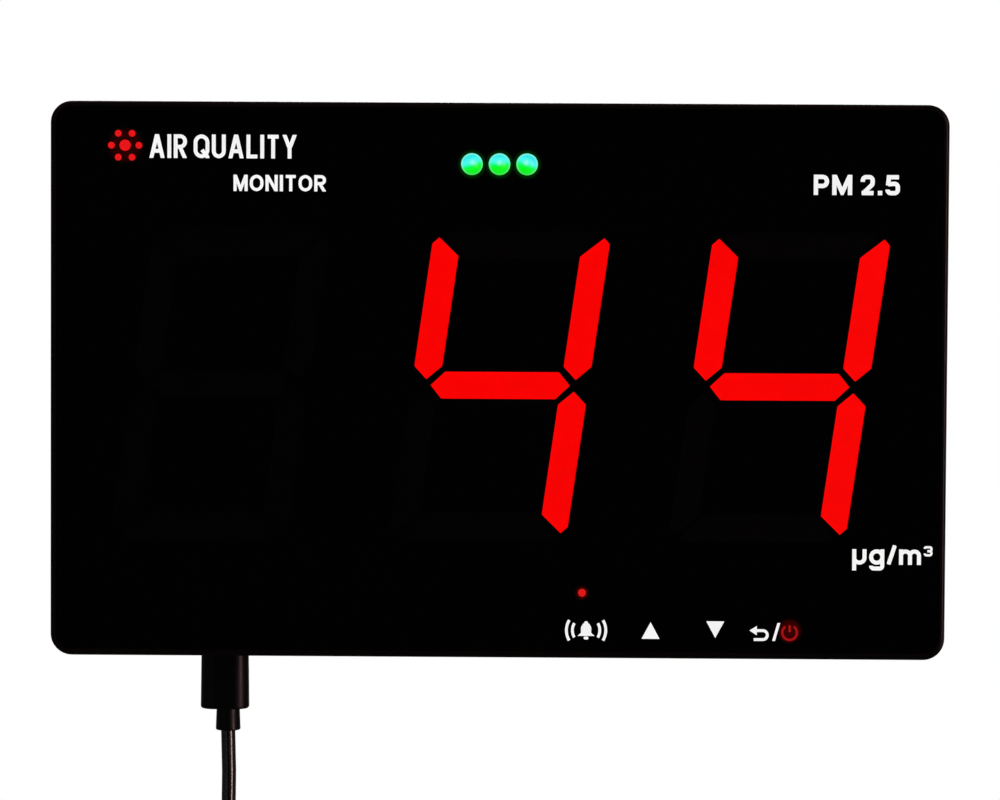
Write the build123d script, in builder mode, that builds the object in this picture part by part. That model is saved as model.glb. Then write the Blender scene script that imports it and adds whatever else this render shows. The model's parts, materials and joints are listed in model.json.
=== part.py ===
from build123d import *
import math
import os

os.makedirs("parts", exist_ok=True)

# Wall-hung air quality monitor with a big three-digit display, in millimetres.
# +X is right, +Z is up and the face looks along -Y. The origin is midway between the two wall
# screws, in the plane of the wall. "Depth" is the distance in front of the wall, and flat
# positions (x, z) are taken from the middle of the display panel.

# ---------------------------------------------------------------- driving dimensions
PANEL_W = 208.4            # outline of the front bezel
PANEL_H = 129.0
CORNER_R = 5.0
DEPTH = 24.0               # wall to the rim of the bezel
KEYHOLE_RISE = 32.0        # wall screws above the middle of the panel
KEYHOLE_PITCH = 120.0
GAP = 0.15                 # assembly gap between neighbouring pieces
TIGHT = 0.1                # gap between stacked flat pieces

# Insets from the bezel's outline
RIM_T = 1.3
BEZEL_WALL_T = 2.2
LEDGE_INSET = 3.0
HOUSING_INSET = 5.2
SHELL_T = 2.0
RIB_INSET = HOUSING_INSET + SHELL_T + 2 * GAP
RIB_T = 1.2
BORE_CORNER_R = 1.5        # corners of the openings inside the bezel
TAPE_OUTER_INSET = RIM_T + 2 * GAP
TAPE_INNER_INSET = 2.6
PANE_CHAMFER = 0.2

# Depths
HOUSING_FRONT = 17.0
FLANGE_T = 1.2
LEDGE_BACK = 20.2
FILM_BACK = 21.45
FILM_T = 0.15
PRINT_T = 0.1
PANE_BACK = 21.8
PANE_T = 2.0
BOARD_T = 1.6
DISPLAY_BOARD_BACK = 15.2
DISPLAY_BOARD_FRONT = DISPLAY_BOARD_BACK + BOARD_T

# Display digits
DIGIT_PITCH = 65.1
DIGIT_MID_X = 0.4
DIGIT_Z = -1.1
SLANT_DEG = 8.1
DIGIT_HALF_W = 20.7        # outer half width of an upright digit
DIGIT_HALF_H = 36.0
SEGMENT_W = 6.6
BAR_T = 6.4
BAR_CORNER_X = 13.3
BAR_TIP_X = 16.3
SIDE_TIP_Z = 1.3           # inner tip of a side segment above the digit's middle
SIDE_SHOULDER_Z = 4.4
SIDE_INNER_TOP = 30.1
SIDE_OUTER_TOP = 33.0
SIDE_TIP_TOP = 34.5
SIDE_TIP_INSET = 1.5
BAR_TOP_INSET = 3.0        # how far the long edge of the top and bottom bars reaches past the short one
BAR_BEVEL = 0.8
LENS_FIT = 0.06            # gap round a lens in its well
CHIP_STEP = 9.0            # chips from the middle of their segment
REFLECTOR_W = 55.0
REFLECTOR_H = 75.0
LENS_T = 0.95
CHIP_SIZE = (2.8, 1.6, 0.8)

# Status lamps, alarm lamp and touch keys
LAMP_R = 2.4
LAMP_PITCH = 6.4
LAMP_Z = 50.3
LAMP_HOLE_R = 2.5
LAMP_FLANGE_R = 2.8
LAMP_FLANGE_T = 1.0
LAMP_TIP = 24.8            # depth of the dome's tip
ALARM_X = 19.8
ALARM_Z = -49.45
ALARM_R = 0.95
KEY_X = (20.8, 35.85, 50.95, 65.15)
KEY_Z = -58.2
TOUCH_PAD_R = 3.0
TOUCH_BOARD_BACK = 18.4
TOUCH_BOARD_T = 1.2
TOUCH_BOARD_SPOT = (45.0, -54.0)
TOUCH_BOARD_SIZE = (62.0, 14.2)
TOUCH_CHIP_SPOT = (46.0, -50.0)
DRIVER_SPOTS = [(-8.0, 20.0), (28.0, 20.0)]
DRIVER_SIZE = (17.9, 7.5)
DRIVER_T = 1.6

# Fasteners
CASE_SCREW_X = 88.5
CASE_SCREW_Z = 48.5
CASE_BORE_DEPTH = 8.0
CASE_HEAD_R = 2.6
SCREW_R = 1.3
SMALL_SCREW_R = 0.95
SMALL_HEAD_R = 1.9
SMALL_HEAD_T = 1.2
CLEAR = 0.05               # radial clearance round a screw shank
LOOSE = 0.2                # radial clearance of a through hole
RECESS_L = 1.1             # cross recess of a screw, as shares of the head's radius and thickness
RECESS_W = 0.24
RECESS_DEPTH = 0.6
CASE_HEAD_T = 1.8
CASE_SCREW_L = 11.4
DISPLAY_SCREW_L = 3.0
MAIN_SCREW_L = 4.2

# Main board
MAIN_X = -50.0
MAIN_Z = -31.0
MAIN_W = 66.0
MAIN_H = 50.0
MAIN_BACK = 5.6
MAIN_FRONT = MAIN_BACK + BOARD_T
MAIN_HOLE_X = 30.5
MAIN_HOLE_Z = 21.5
MAIN_POST_R = 3.0
BOARD_CORNER_R = 1.0
# pieces on the main board, from its middle
PROCESSOR_SPOT = (-4.0, 6.0)
PROCESSOR_SIZE = (10.0, 10.0)
REGULATOR_SPOTS = [(-22.0, -12.0), (14.0, 14.0)]
REGULATOR_SIZE = (6.2, 5.0)
INDUCTOR_SPOT = (-22.0, 0.0)
INDUCTOR_SIZE = (7.0, 7.0)
CRYSTAL_SPOT = (8.0, 4.0)
CRYSTAL_SIZE = (4.6, 10.6)
CAPACITOR_SPOTS = [(10.0, -12.0), (20.0, -12.0)]
CAPACITOR_R = 3.15
BUZZER_SPOT = (20.0, 3.0)
BUZZER_R = 6.0
BUZZER_T = 5.5
BUZZER_HOLE_R = 1.2
BUZZER_FLOOR_T = 3.0
HEADER_SPOT = (-22.0, 16.0)
HEADER_SIZE = (20.32, 2.5)

# Laser particle sensor
SENSOR_X = 70.2
SENSOR_Z = -25.0
SENSOR_W = 48.0
SENSOR_H = 37.0
SENSOR_BACK = 2.6
SENSOR_T = 11.8
SENSOR_WALL = 1.0
FAN_X = 9.5                # fan axis from the middle of the sensor
FAN_Z = 4.0
FAN_R = 9.6
FAN_RING_R = 11.2
FAN_BORE_R = 10.2
FAN_BLADES = 7
FAN_HUB_R = 4.2
SHAFT_R = 0.75
BUSH_R = 1.6
FAN_BACK = 4.6
FAN_T = 5.0
FAN_BLADE_T = 0.8
FAN_BLADE_DEG = 28.0
FAN_RUNNING_GAP = 0.4      # hub to frame along the axis
SENSOR_CORNER_R = 2.0
PORT_X = 11.5              # inlet and outlet of the sensor, up and down from its middle
PORT_L = 9.0
PORT_W = 4.0
LID_HOLE_R = 1.5
LID_HOLE_RING_R = 5.5
LID_HOLES = 8
PAD_INSET = 3.0
OPTIC_X = -14.0            # sensor board and photodiode, from the middle of the sensor
OPTIC_SIZE = (17.0, 33.0)
OPTIC_BOARD_T = 0.8
OPTIC_BOARD_DROP = 2.6     # back of the sensor board, behind the sensor's front
PHOTODIODE_Z = -8.0
PHOTODIODE_SIZE = (4.4, 4.0)
PHOTODIODE_T = 1.4
LASER_X = -8.5
LASER_Z = -13.6
LASER_DEPTH = 3.2
LASER_R = 2.8
LASER_L = 7.0
LASER_NOSE_R = 2.3
LASER_NOSE_L = 1.2
FOAM_W = 9.5
HARNESS_RISE = 4.0         # harness above the middle of the sensor
HARNESS_W = 9.0
HARNESS_T = 1.0
HARNESS_BEND_R = 2.5
CONNECTOR_H = 12.0
CONNECTOR_T = 4.6

# Power lead
PLUG_X = -64.0
PLUG_D = 8.6
PLUG_TOP_GAP = 0.3
PLUG_BODY_SHIFT = -0.75    # the lead leaves the moulding a little right of its middle
PLUG_BODY_W = 11.5
PLUG_BODY_T = 7.6
PLUG_BODY_L = 19.0
PLUG_TAPER = 0.4
PLUG_SIDE_R = 3.5
PLUG_END_ROUND = 0.6
COLLAR_L = 5.2
COLLAR_TOP_R = 2.75
COLLAR_END_R = 2.95
COLLAR_ROUND = 0.35
CORD_D = 3.4
BEND_SHARE = 0.45          # share of the shorter run that a bend of the lead uses
COIL_TURNS = 8
COIL_LAYERS = 4
COIL_PITCH = 3.45
COIL_MEAN_R = 17.6
TIE_T = 1.1
TIE_DEG = 17.0
TIE_SLACK = 1.0
TIE_CORNER_R = 2.4

# Bezel and housing details
RIM_ROUND = 1.0
CORNER_PLATE = 12.0
HOUSING_CORNER_R = 5.0
HOUSING_ROUND = 1.8
RIB_CORNER_R = HOUSING_CORNER_R - 2 * GAP
KEYHOLE_R = 4.0
KEYHOLE_SLOT_R = 2.2
KEYHOLE_SLOT = 8.0
KEYHOLE_CUP_W = 12.4
KEYHOLE_CUP_DEPTH = 7.2
VENT_Z = 15.0
VENT_W = 44.0
VENT_H = 2.4
VENT_STEP = 5.2
VENT_ROWS = 7
SIDE_VENT_DEPTH = 8.5
SIDE_VENT_STEP = 4.2
SIDE_VENT_COUNT = 8
SIDE_VENT_L = 9.0
SIDE_VENT_W = 1.8
LABEL_X = 0.0
LABEL_Z = -36.0
LABEL_W = 64.0
LABEL_H = 26.0
LABEL_BED = 0.4
LABEL_T = 0.2
MESH_MARGIN = 3.0
MESH_T = 0.4
KEYHOLE_CUP_WALL = 1.2

# Display board and printed signs
BOARD_W = 189.6
BOARD_TOP = 54.9
BOARD_BOTTOM = -47.6
POWER_X = 68.3
# words, middle, baseline, cap height, width, stroke and letter gap of each line of print
LEGENDS = [("PM 2.5", 83.0, 43.6, 4.7, 20.0, 1.0, 0.75),
           ("µg/m", 90.75, -42.4, 4.6, 16.0, 0.92, 0.65),
           ("3", 100.4, -40.4, 2.4, 2.05, 0.52, 0.3),
           ("AIR QUALITY", -64.3, 51.4, 5.5, 34.4, 0.88, 0.6),
           ("MONITOR", -51.1, 43.8, 3.8, 21.5, 0.72, 0.5)]
BADGE_X = -87.1
BADGE_Z = 54.3
BADGE_R = 3.2
BADGE_DOT_R = 1.3
BADGE_SPECKS = 6
BADGE_SPECK_R = 0.78
SIGN_STROKE = 0.65
SOUND_REACH = (3.2, 4.6)   # radii of the sound arcs beside the bell
SOUND_DEG = 62.0
RETURN_Z = 0.2             # shaft of the return arrow, from the keys' middle line
RETURN_R = 1.05
POWER_R = 1.7
POWER_GAP_DEG = 35.0
POWER_STROKE = 0.55
POWER_RING_Z = -0.25
POWER_BAR_Z = 0.7

# Micro-USB socket and plug, USB-A plug
SOCKET_W = 7.8
SOCKET_T = 2.7
SOCKET_WALL = 0.3
SOCKET_L = 6.4
SHELL_W = 6.85
SHELL_H = 1.8
SHELL_L = 5.8
SHELL_BORE = 0.5           # walls of the plug's shell, both sides together
SHELL_FLOOR_T = 1.2
SHELL_CORNER_R = 0.4
SOCKET_FIT = 0.4
SOCKET_CORNER_R = 0.5
SOCKET_RISE = 0.8          # mouth of the socket inside the housing's outer wall
SOCKET_TONGUE = (3.7, 0.6)
USB_BODY_W = 15.6
USB_BODY_T = 8.0
USB_BODY_L = 22.0
USB_SHELL_W = 12.0
USB_SHELL_T = 4.5
USB_SHELL_L = 12.0
USB_SHELL_WALL = 0.35
USB_COLLAR_L = 6.0
USB_COLLAR_TOP_R = 2.4
USB_COLLAR_R = 3.0
USB_TONGUE_T = 1.9
USB_TONGUE_SHIFT = 0.75
USB_TONGUE_SET = 0.5       # tongue behind the mouth of the shell
USB_BODY_CORNER_R = 2.2
USB_SHELL_CORNER_R = 0.6
USB_MOUTH_ROUND = 0.8
USB_SHOULDER_ROUND = 1.4
USB_WINDOW = (2.4, 2.2)
USB_WINDOW_X = 2.6
USB_WINDOW_Z = 6.0

PANEL_Z = -KEYHOLE_RISE
SLOPE = math.tan(math.radians(SLANT_DEG))


# ---------------------------------------------------------------- helpers
def face_plane(depth):
    """Plane parallel to the wall at this depth, facing the viewer, from the panel's middle."""
    return Plane(origin=(0, -depth, PANEL_Z), x_dir=(1, 0, 0), z_dir=(0, -1, 0))


def level_plane(z):
    """Level plane at height z from the panel's middle, with local y towards the wall."""
    return Plane(origin=(0, 0, PANEL_Z + z), x_dir=(1, 0, 0), z_dir=(0, 0, 1))


def outline(inset):
    """The bezel's outline drawn in by this much, in the open sketch."""
    return RectangleRounded(PANEL_W - 2 * inset, PANEL_H - 2 * inset, max(CORNER_R - inset, BORE_CORNER_R))


def save(piece, label):
    """Labels a finished piece and writes its STEP file."""
    piece.part.label = label
    export_step(piece.part, f"parts/{label}.step")


def blocks(label, depth, thickness, places, size, corner=0.2):
    """Equal rounded blocks standing on a plane parallel to the wall."""
    with BuildPart() as piece:
        with BuildSketch(face_plane(depth)):
            with Locations(*places):
                RectangleRounded(*size, corner)
        extrude(amount=thickness)
    save(piece, label)


def discs(label, depth, thickness, places, radius):
    """Equal round pieces standing on a plane parallel to the wall."""
    with BuildPart() as piece:
        with BuildSketch(face_plane(depth)):
            with Locations(*places):
                Circle(radius)
        extrude(amount=thickness)
    save(piece, label)


def on_main_board(*spots):
    """Places on the main board, from spots measured from its middle."""
    return [(MAIN_X + x, MAIN_Z + z) for x, z in spots]


def sideways_plane(x, depth, z):
    """Plane across the monitor at this x, facing right, with local x up."""
    return Plane(origin=(x, -depth, PANEL_Z + z), x_dir=(0, 0, 1), z_dir=(1, 0, 0))


def screws(label, places, head_depth, head_r, head_t, shank_r, shank_l, to_front):
    """Pan-head screws with a cross recess; to_front says that the shank points away from the wall."""
    way = 1 if to_front else -1
    with BuildPart() as piece:
        with BuildSketch(face_plane(head_depth)):
            with Locations(*places):
                Circle(head_r)
        extrude(amount=-way * head_t)
        with BuildSketch(face_plane(head_depth)):
            with Locations(*places):
                Circle(shank_r)
        extrude(amount=way * shank_l)
        with BuildSketch(face_plane(head_depth - way * head_t)):
            with Locations(*places):
                Rectangle(head_r * RECESS_L, head_r * RECESS_W)
                Rectangle(head_r * RECESS_W, head_r * RECESS_L)
        extrude(amount=way * head_t * RECESS_DEPTH, mode=Mode.SUBTRACT)
    save(piece, label)


# ---------------------------------------------------------------- front bezel
CORNERS = [(sx * CASE_SCREW_X, sz * CASE_SCREW_Z) for sx in (-1, 1) for sz in (-1, 1)]
BOARD_TABS = [(-45.0, 50.5), (45.0, 50.5), (-32.5, -44.5), (32.5, -44.5)]
RIB_X = PANEL_W / 2 - RIB_INSET
RIB_Z = PANEL_H / 2 - RIB_INSET
RIB_BACK = DISPLAY_BOARD_BACK - 2 * TIGHT
TAB_BACK = DISPLAY_BOARD_FRONT + GAP
TAB_W = 8.0
BOSS_R = 3.5
BOSS_FRONT = 20.0

with BuildPart() as front_bezel:
    with BuildSketch(face_plane(HOUSING_FRONT)):
        outline(0)
    extrude(amount=DEPTH - HOUSING_FRONT)
    fillet(front_bezel.edges().group_by(Axis.Y)[0], RIM_ROUND)
    with BuildSketch(face_plane(HOUSING_FRONT)):
        RectangleRounded(2 * RIB_X, 2 * RIB_Z, BORE_CORNER_R)
    extrude(amount=DEPTH, mode=Mode.SUBTRACT)
    with BuildSketch(face_plane(HOUSING_FRONT + FLANGE_T)):
        outline(BEZEL_WALL_T)
    extrude(amount=LEDGE_BACK - HOUSING_FRONT - FLANGE_T, mode=Mode.SUBTRACT)
    with BuildSketch(face_plane(LEDGE_BACK)):
        outline(LEDGE_INSET)
    extrude(amount=DEPTH, mode=Mode.SUBTRACT)
    with BuildSketch(face_plane(FILM_BACK)):
        outline(RIM_T)
    extrude(amount=DEPTH, mode=Mode.SUBTRACT)
    # locating rib that drops inside the rear housing
    with BuildSketch(face_plane(RIB_BACK)):
        RectangleRounded(2 * RIB_X, 2 * RIB_Z, RIB_CORNER_R)
        RectangleRounded(2 * (RIB_X - RIB_T), 2 * (RIB_Z - RIB_T), RIB_CORNER_R - RIB_T, mode=Mode.SUBTRACT)
    extrude(amount=HOUSING_FRONT + FLANGE_T - RIB_BACK)
    # corner plates with the bosses for the case screws
    with BuildSketch(face_plane(TAB_BACK)):
        with Locations(*CORNERS):
            Circle(BOSS_R)
        for sx in (-1, 1):
            for sz in (-1, 1):
                with Locations((sx * (RIB_X - CORNER_PLATE / 2), sz * (RIB_Z - CORNER_PLATE / 2))):
                    RectangleRounded(CORNER_PLATE, CORNER_PLATE, RIB_CORNER_R)
    extrude(amount=HOUSING_FRONT + FLANGE_T - TAB_BACK)
    with BuildSketch(face_plane(TAB_BACK)):
        with Locations(*CORNERS):
            Circle(BOSS_R)
    extrude(amount=BOSS_FRONT - TAB_BACK)
    # arms that carry the display board
    with BuildSketch(face_plane(TAB_BACK)):
        for x, z in BOARD_TABS:
            reach = RIB_Z - abs(z) + TAB_W / 2
            with Locations((x, math.copysign(RIB_Z - reach / 2, z))):
                Rectangle(TAB_W, reach)
    extrude(amount=HOUSING_FRONT + FLANGE_T - TAB_BACK)
    with BuildSketch(face_plane(TAB_BACK)):
        with Locations(*CORNERS):
            Circle(SCREW_R + CLEAR)
        with Locations(*BOARD_TABS):
            Circle(SMALL_SCREW_R + CLEAR)
    extrude(amount=BOSS_FRONT - TAB_BACK, mode=Mode.SUBTRACT)
save(front_bezel, "front_bezel")


# ---------------------------------------------------------------- face of the display
LAMPS = [(-LAMP_PITCH, LAMP_Z), (0, LAMP_Z), (LAMP_PITCH, LAMP_Z)]
DIGIT_XS = [DIGIT_MID_X - DIGIT_PITCH, DIGIT_MID_X, DIGIT_MID_X + DIGIT_PITCH]
KEYS = [(x, KEY_Z) for x in KEY_X]


def upright_segment(letter):
    """Corners of one segment of an upright seven-segment digit, a to g."""
    half_bar = BAR_T / 2
    inner = DIGIT_HALF_W - SEGMENT_W
    if letter == "g":
        return [(-BAR_TIP_X, 0), (-BAR_CORNER_X, half_bar), (BAR_CORNER_X, half_bar),
                (BAR_TIP_X, 0), (BAR_CORNER_X, -half_bar), (-BAR_CORNER_X, -half_bar)]
    if letter in "ad":
        rise = 1 if letter == "a" else -1
        low = DIGIT_HALF_H - BAR_T
        long_x = inner + BAR_TOP_INSET
        return [(-BAR_CORNER_X, rise * low), (BAR_CORNER_X, rise * low),
                (long_x + BAR_BEVEL, rise * (DIGIT_HALF_H - BAR_BEVEL)), (long_x, rise * DIGIT_HALF_H),
                (-long_x, rise * DIGIT_HALF_H), (-long_x - BAR_BEVEL, rise * (DIGIT_HALF_H - BAR_BEVEL))]
    side = 1 if letter in "bc" else -1
    rise = 1 if letter in "bf" else -1
    return [(side * (DIGIT_HALF_W - SEGMENT_W / 2), rise * SIDE_TIP_Z),
            (side * DIGIT_HALF_W, rise * SIDE_SHOULDER_Z),
            (side * DIGIT_HALF_W, rise * SIDE_OUTER_TOP),
            (side * (DIGIT_HALF_W - SIDE_TIP_INSET), rise * SIDE_TIP_TOP),
            (side * inner, rise * SIDE_INNER_TOP),
            (side * inner, rise * SIDE_SHOULDER_Z)]


def segments(letters, middle_x):
    """Leaning segments of one digit, in the open sketch."""
    for letter in letters:
        corners = [(x + z * SLOPE, z) for x, z in upright_segment(letter)]
        with Locations((middle_x, DIGIT_Z)):
            Polygon(*corners, align=None)


def reflector(label, middle_x):
    """Light box behind one digit, with a well for each segment."""
    with BuildPart() as piece:
        with BuildSketch(face_plane(DISPLAY_BOARD_FRONT + TIGHT)):
            with Locations((middle_x, DIGIT_Z)):
                RectangleRounded(REFLECTOR_W, REFLECTOR_H, BORE_CORNER_R)
        extrude(amount=FILM_BACK - DISPLAY_BOARD_FRONT - 2 * TIGHT)
        with BuildSketch(face_plane(DISPLAY_BOARD_FRONT)):
            segments("abcdefg", middle_x)
        extrude(amount=FILM_BACK - DISPLAY_BOARD_FRONT, mode=Mode.SUBTRACT)
    save(piece, label)


def lenses(label, letters_by_digit):
    """Diffusing lenses that close the wells of the digits."""
    with BuildPart() as piece:
        with BuildSketch(face_plane(FILM_BACK - TIGHT - LENS_T)):
            for letters, digit_x in zip(letters_by_digit, DIGIT_XS):
                segments(letters, digit_x)
            offset(amount=-LENS_FIT)
        extrude(amount=LENS_T)
    save(piece, label)


with BuildPart() as front_pane:
    with BuildSketch(face_plane(PANE_BACK)):
        outline(RIM_T + GAP)
    extrude(amount=PANE_T)
    chamfer(front_pane.edges().group_by(Axis.Y)[0], PANE_CHAMFER)
    with BuildSketch(face_plane(PANE_BACK)):
        with Locations(*LAMPS):
            Circle(LAMP_HOLE_R)
    extrude(amount=PANE_T, mode=Mode.SUBTRACT)
save(front_pane, "front_pane")

with BuildPart() as mask_film:
    with BuildSketch(face_plane(FILM_BACK)):
        outline(RIM_T + GAP)
        with Locations(*LAMPS):
            Circle(LAMP_HOLE_R, mode=Mode.SUBTRACT)
        with Locations((ALARM_X, ALARM_Z)):
            Circle(ALARM_R, mode=Mode.SUBTRACT)
    extrude(amount=FILM_T)
    with BuildSketch(face_plane(FILM_BACK)):
        for digit_x in DIGIT_XS:
            segments("abcdefg", digit_x)
    extrude(amount=FILM_T, mode=Mode.SUBTRACT)
save(mask_film, "mask_film")

with BuildPart() as pane_tape:
    with BuildSketch(face_plane(FILM_BACK + FILM_T)):
        outline(TAPE_OUTER_INSET)
        RectangleRounded(PANEL_W - 2 * TAPE_INNER_INSET, PANEL_H - 2 * TAPE_INNER_INSET, BORE_CORNER_R,
                         mode=Mode.SUBTRACT)
    extrude(amount=PANE_BACK - FILM_BACK - FILM_T)
save(pane_tape, "pane_tape")

for side, digit_x in zip(("left", "middle", "right"), DIGIT_XS):
    reflector(f"digit_reflector_{side}", digit_x)
lenses("dark_lenses", ("abcdefg", "ade", "ade"))
lenses("lit_lenses", ("", "bcfg", "bcfg"))

# Bold letters drawn as strokes. Each has its width, the bottom and top that it is cut to, and its
# strokes. A stroke has a roundness, from 0 for sharp corners to 1 for the roundest that fit, and its
# points. Widths and heights are shares of the cap height, and points are shares of the letter.
ARC_SHARE = 0.96
STEM = (0, [(0, -0.5), (0, 1.2)])
RING = [(1, [(0.55, 0), (0, 0), (0, 1), (0.55, 1)]), (1, [(0.45, 0), (1, 0), (1, 1), (0.45, 1)])]
GLYPHS = {
    " ": (0.10, 0, 1, []),
    ".": (0.00, 0, 0.22, [STEM]),
    "I": (0.00, 0, 1, [STEM]),
    "/": (0.44, 0, 1, [(0, [(-0.1, -0.1), (1.1, 1.1)])]),
    "2": (0.72, 0, 1, [(1, [(0, 0.70), (0, 1), (1, 1), (1, 0.55), (0, -0.05)]), (0, [(-0.1, 0), (1.1, 0)])]),
    "3": (0.72, 0, 1, [(1, [(0, 0.80), (0, 1), (1, 1), (1, 0.52), (0.4, 0.52)]),
                       (1, [(0.4, 0.5), (1, 0.5), (1, 0), (0, 0), (0, 0.22)])]),
    "5": (0.74, 0, 1, [(0, [(1.1, 1), (0.12, 1), (0.04, 0.48)]),
                       (1, [(0.05, 0.56), (1, 0.60), (1, 0), (0, 0), (0, 0.22)])]),
    "A": (1.00, 0, 1, [(0, [(0, -0.15), (0.5, 1.1), (1, -0.15)]), (0, [(0.15, 0.26), (0.85, 0.26)])]),
    "L": (0.72, 0, 1, [(0, [(0, 1.2), (0, 0), (1.2, 0)])]),
    "M": (1.02, 0, 1, [STEM, (0, [(0, 1.12), (0.5, 0.02), (1, 1.12)]), (0, [(1, -0.2), (1, 1.2)])]),
    "N": (0.88, 0, 1, [STEM, (0, [(0, 1.1), (1, -0.1)]), (0, [(1, -0.2), (1, 1.2)])]),
    "O": (0.98, 0, 1, RING),
    "P": (0.78, 0, 1, [STEM, (1, [(0, 1), (1, 1), (1, 0.43), (0, 0.43)])]),
    "Q": (1.00, 0, 1, RING + [(0, [(0.55, 0.32), (1.1, -0.12)])]),
    "R": (0.84, 0, 1, [STEM, (1, [(0, 1), (1, 1), (1, 0.47), (0, 0.47)]), (0, [(0.45, 0.47), (1.08, -0.2)])]),
    "T": (0.82, 0, 1, [(0, [(-0.1, 1), (1.1, 1)]), (0, [(0.5, 1), (0.5, -0.2)])]),
    "U": (0.88, 0, 1, [(1, [(0, 1.2), (0, 0), (0.55, 0)]), (1, [(0.45, 0), (1, 0), (1, 1.2)])]),
    "Y": (0.95, 0, 1, [(0, [(0, 1.15), (0.5, 0.42), (1, 1.15)]), (0, [(0.5, 0.5), (0.5, -0.2)])]),
    "g": (0.72, -0.30, 0.78, [(1, [(0.55, 0), (0, 0), (0, 0.72), (0.55, 0.72)]),
                              (1, [(0.45, 0), (1, 0), (1, 0.72), (0.45, 0.72)]),
                              (1, [(1, 0.9), (1, -0.37), (0, -0.37), (0, -0.2)])]),
    "m": (1.05, 0, 0.78, [STEM, (1, [(0, 0.3), (0, 0.72), (0.5, 0.72), (0.5, -0.2)]),
                          (1, [(0.5, 0.3), (0.5, 0.72), (1, 0.72), (1, -0.2)])]),
    "µ": (0.68, -0.30, 0.78, [STEM, (1, [(0, 0.6), (0, 0), (1, 0), (1, 0.9)])]),
}


def corner_radius(roundness, points):
    """Radius for the corners of a stroke, as wide as its runs leave room for."""
    runs = [math.dist(a, b) for a, b in zip(points, points[1:])]
    return ARC_SHARE * roundness * min([runs[0], runs[-1]] + [run / 2 for run in runs[1:-1]])


def letter(glyph, left, base, cap_h, letter_w, stroke):
    """One letter of print with its left foot at (left, base)."""
    bottom, top, strokes = GLYPHS[glyph][1:]
    with BuildPart() as piece:
        with BuildSketch(face_plane(FILM_BACK + FILM_T)):
            for roundness, shares in strokes:
                points = [(left + stroke / 2 + x * (letter_w - stroke),
                           base + stroke / 2 + z * (cap_h - stroke)) for x, z in shares]
                with BuildLine():
                    if roundness:
                        FilletPolyline(*points, radius=corner_radius(roundness, points))
                    else:
                        Polyline(*points)
                trace(line_width=stroke)
            with Locations((left + letter_w / 2, base + (bottom + top) / 2 * cap_h)):
                Rectangle(letter_w, (top - bottom) * cap_h, mode=Mode.INTERSECT)
        extrude(amount=PRINT_T)
    return piece.part


def print_line(words, middle_x, base, cap_h, line_w, stroke, gap):
    """The letters of one line of print, squeezed to the line's width."""
    narrow = sum(stroke for glyph in words if GLYPHS[glyph][0] == 0)
    wide = sum(GLYPHS[glyph][0] * cap_h for glyph in words)
    squeeze = (line_w - narrow - gap * (len(words) - 1)) / wide
    left = middle_x - line_w / 2
    pieces = []
    for glyph in words:
        letter_w = GLYPHS[glyph][0] * cap_h * squeeze or stroke
        if GLYPHS[glyph][3]:
            pieces.append(letter(glyph, left, base, cap_h, letter_w, stroke))
        left += letter_w + gap
    return pieces


# The letters never touch, so each is a solid of its own and all of them share one node
letters = []
for legend in LEGENDS:
    letters += print_line(*legend)
white_print = Compound([solid for piece in letters for solid in piece.solids()])
white_print.label = "white_print"
export_step(white_print, "parts/white_print.step")

# Key signs: bell with sound arcs, up, down, return and stroke, each from the middle of its key
BELL = [(-2.0, -1.3), (-1.2, -0.6), (-1.2, 0.7), (-0.7, 1.6),
        (0.7, 1.6), (1.2, 0.7), (1.2, -0.6), (2.0, -1.3)]
CLAPPER_Z = -1.8
CLAPPER_SIZE = (1.1, 0.7)
KNOB_Z = 1.7
KNOB_R = 0.45
UP_SIGN = [(-2.1, -1.9), (2.1, -1.9), (0, 2.0)]
DOWN_SIGN = [(-2.1, 2.3), (2.1, 2.3), (0, -1.6)]
STROKE_SIGN = [(-0.9, -2.2), (-0.25, -2.2), (0.95, 2.0), (0.3, 2.0)]
ARROW_HEAD = [(-4.5, RETURN_Z - 1.1), (-4.5, RETURN_Z + 1.1), (-6.2, RETURN_Z)]
SHAFT_START_X = -4.7
SHAFT_TURN_X = -3.1
SHAFT_END_X = -5.2

with BuildPart() as key_print:
    with BuildSketch(face_plane(FILM_BACK + FILM_T)):
        with Locations((KEY_X[0], KEY_Z)):
            Polygon(*BELL, align=None)
        with Locations((KEY_X[0], KEY_Z + CLAPPER_Z)):
            RectangleRounded(*CLAPPER_SIZE, CLAPPER_SIZE[1] / 2.2)
        with Locations((KEY_X[0], KEY_Z + KNOB_Z)):
            Circle(KNOB_R)
        for key_x, sign in zip(KEY_X[1:], (UP_SIGN, DOWN_SIGN, STROKE_SIGN)):
            with Locations((key_x, KEY_Z)):
                Polygon(*sign, align=None)
        with Locations((KEY_X[3], KEY_Z)):
            Polygon(*ARROW_HEAD, align=None)
    extrude(amount=PRINT_T)
    with BuildSketch(face_plane(FILM_BACK + FILM_T)):
        with BuildLine():
            for side in (-1, 1):
                for reach in SOUND_REACH:
                    CenterArc((KEY_X[0], KEY_Z), reach, 90 - side * 90 - SOUND_DEG / 2, SOUND_DEG)
        trace(line_width=SIGN_STROKE)
    extrude(amount=PRINT_T)
    with BuildSketch(face_plane(FILM_BACK + FILM_T)):
        shaft_z = KEY_Z + RETURN_Z
        turn_x = KEY_X[3] + SHAFT_TURN_X
        with BuildLine():
            Line((KEY_X[3] + SHAFT_START_X, shaft_z), (turn_x, shaft_z))
            CenterArc((turn_x, shaft_z - RETURN_R), RETURN_R, -90, 180)
            Line((turn_x, shaft_z - 2 * RETURN_R), (KEY_X[3] + SHAFT_END_X, shaft_z - 2 * RETURN_R))
        trace(line_width=SIGN_STROKE)
    extrude(amount=PRINT_T)
save(key_print, "key_print")

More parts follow.
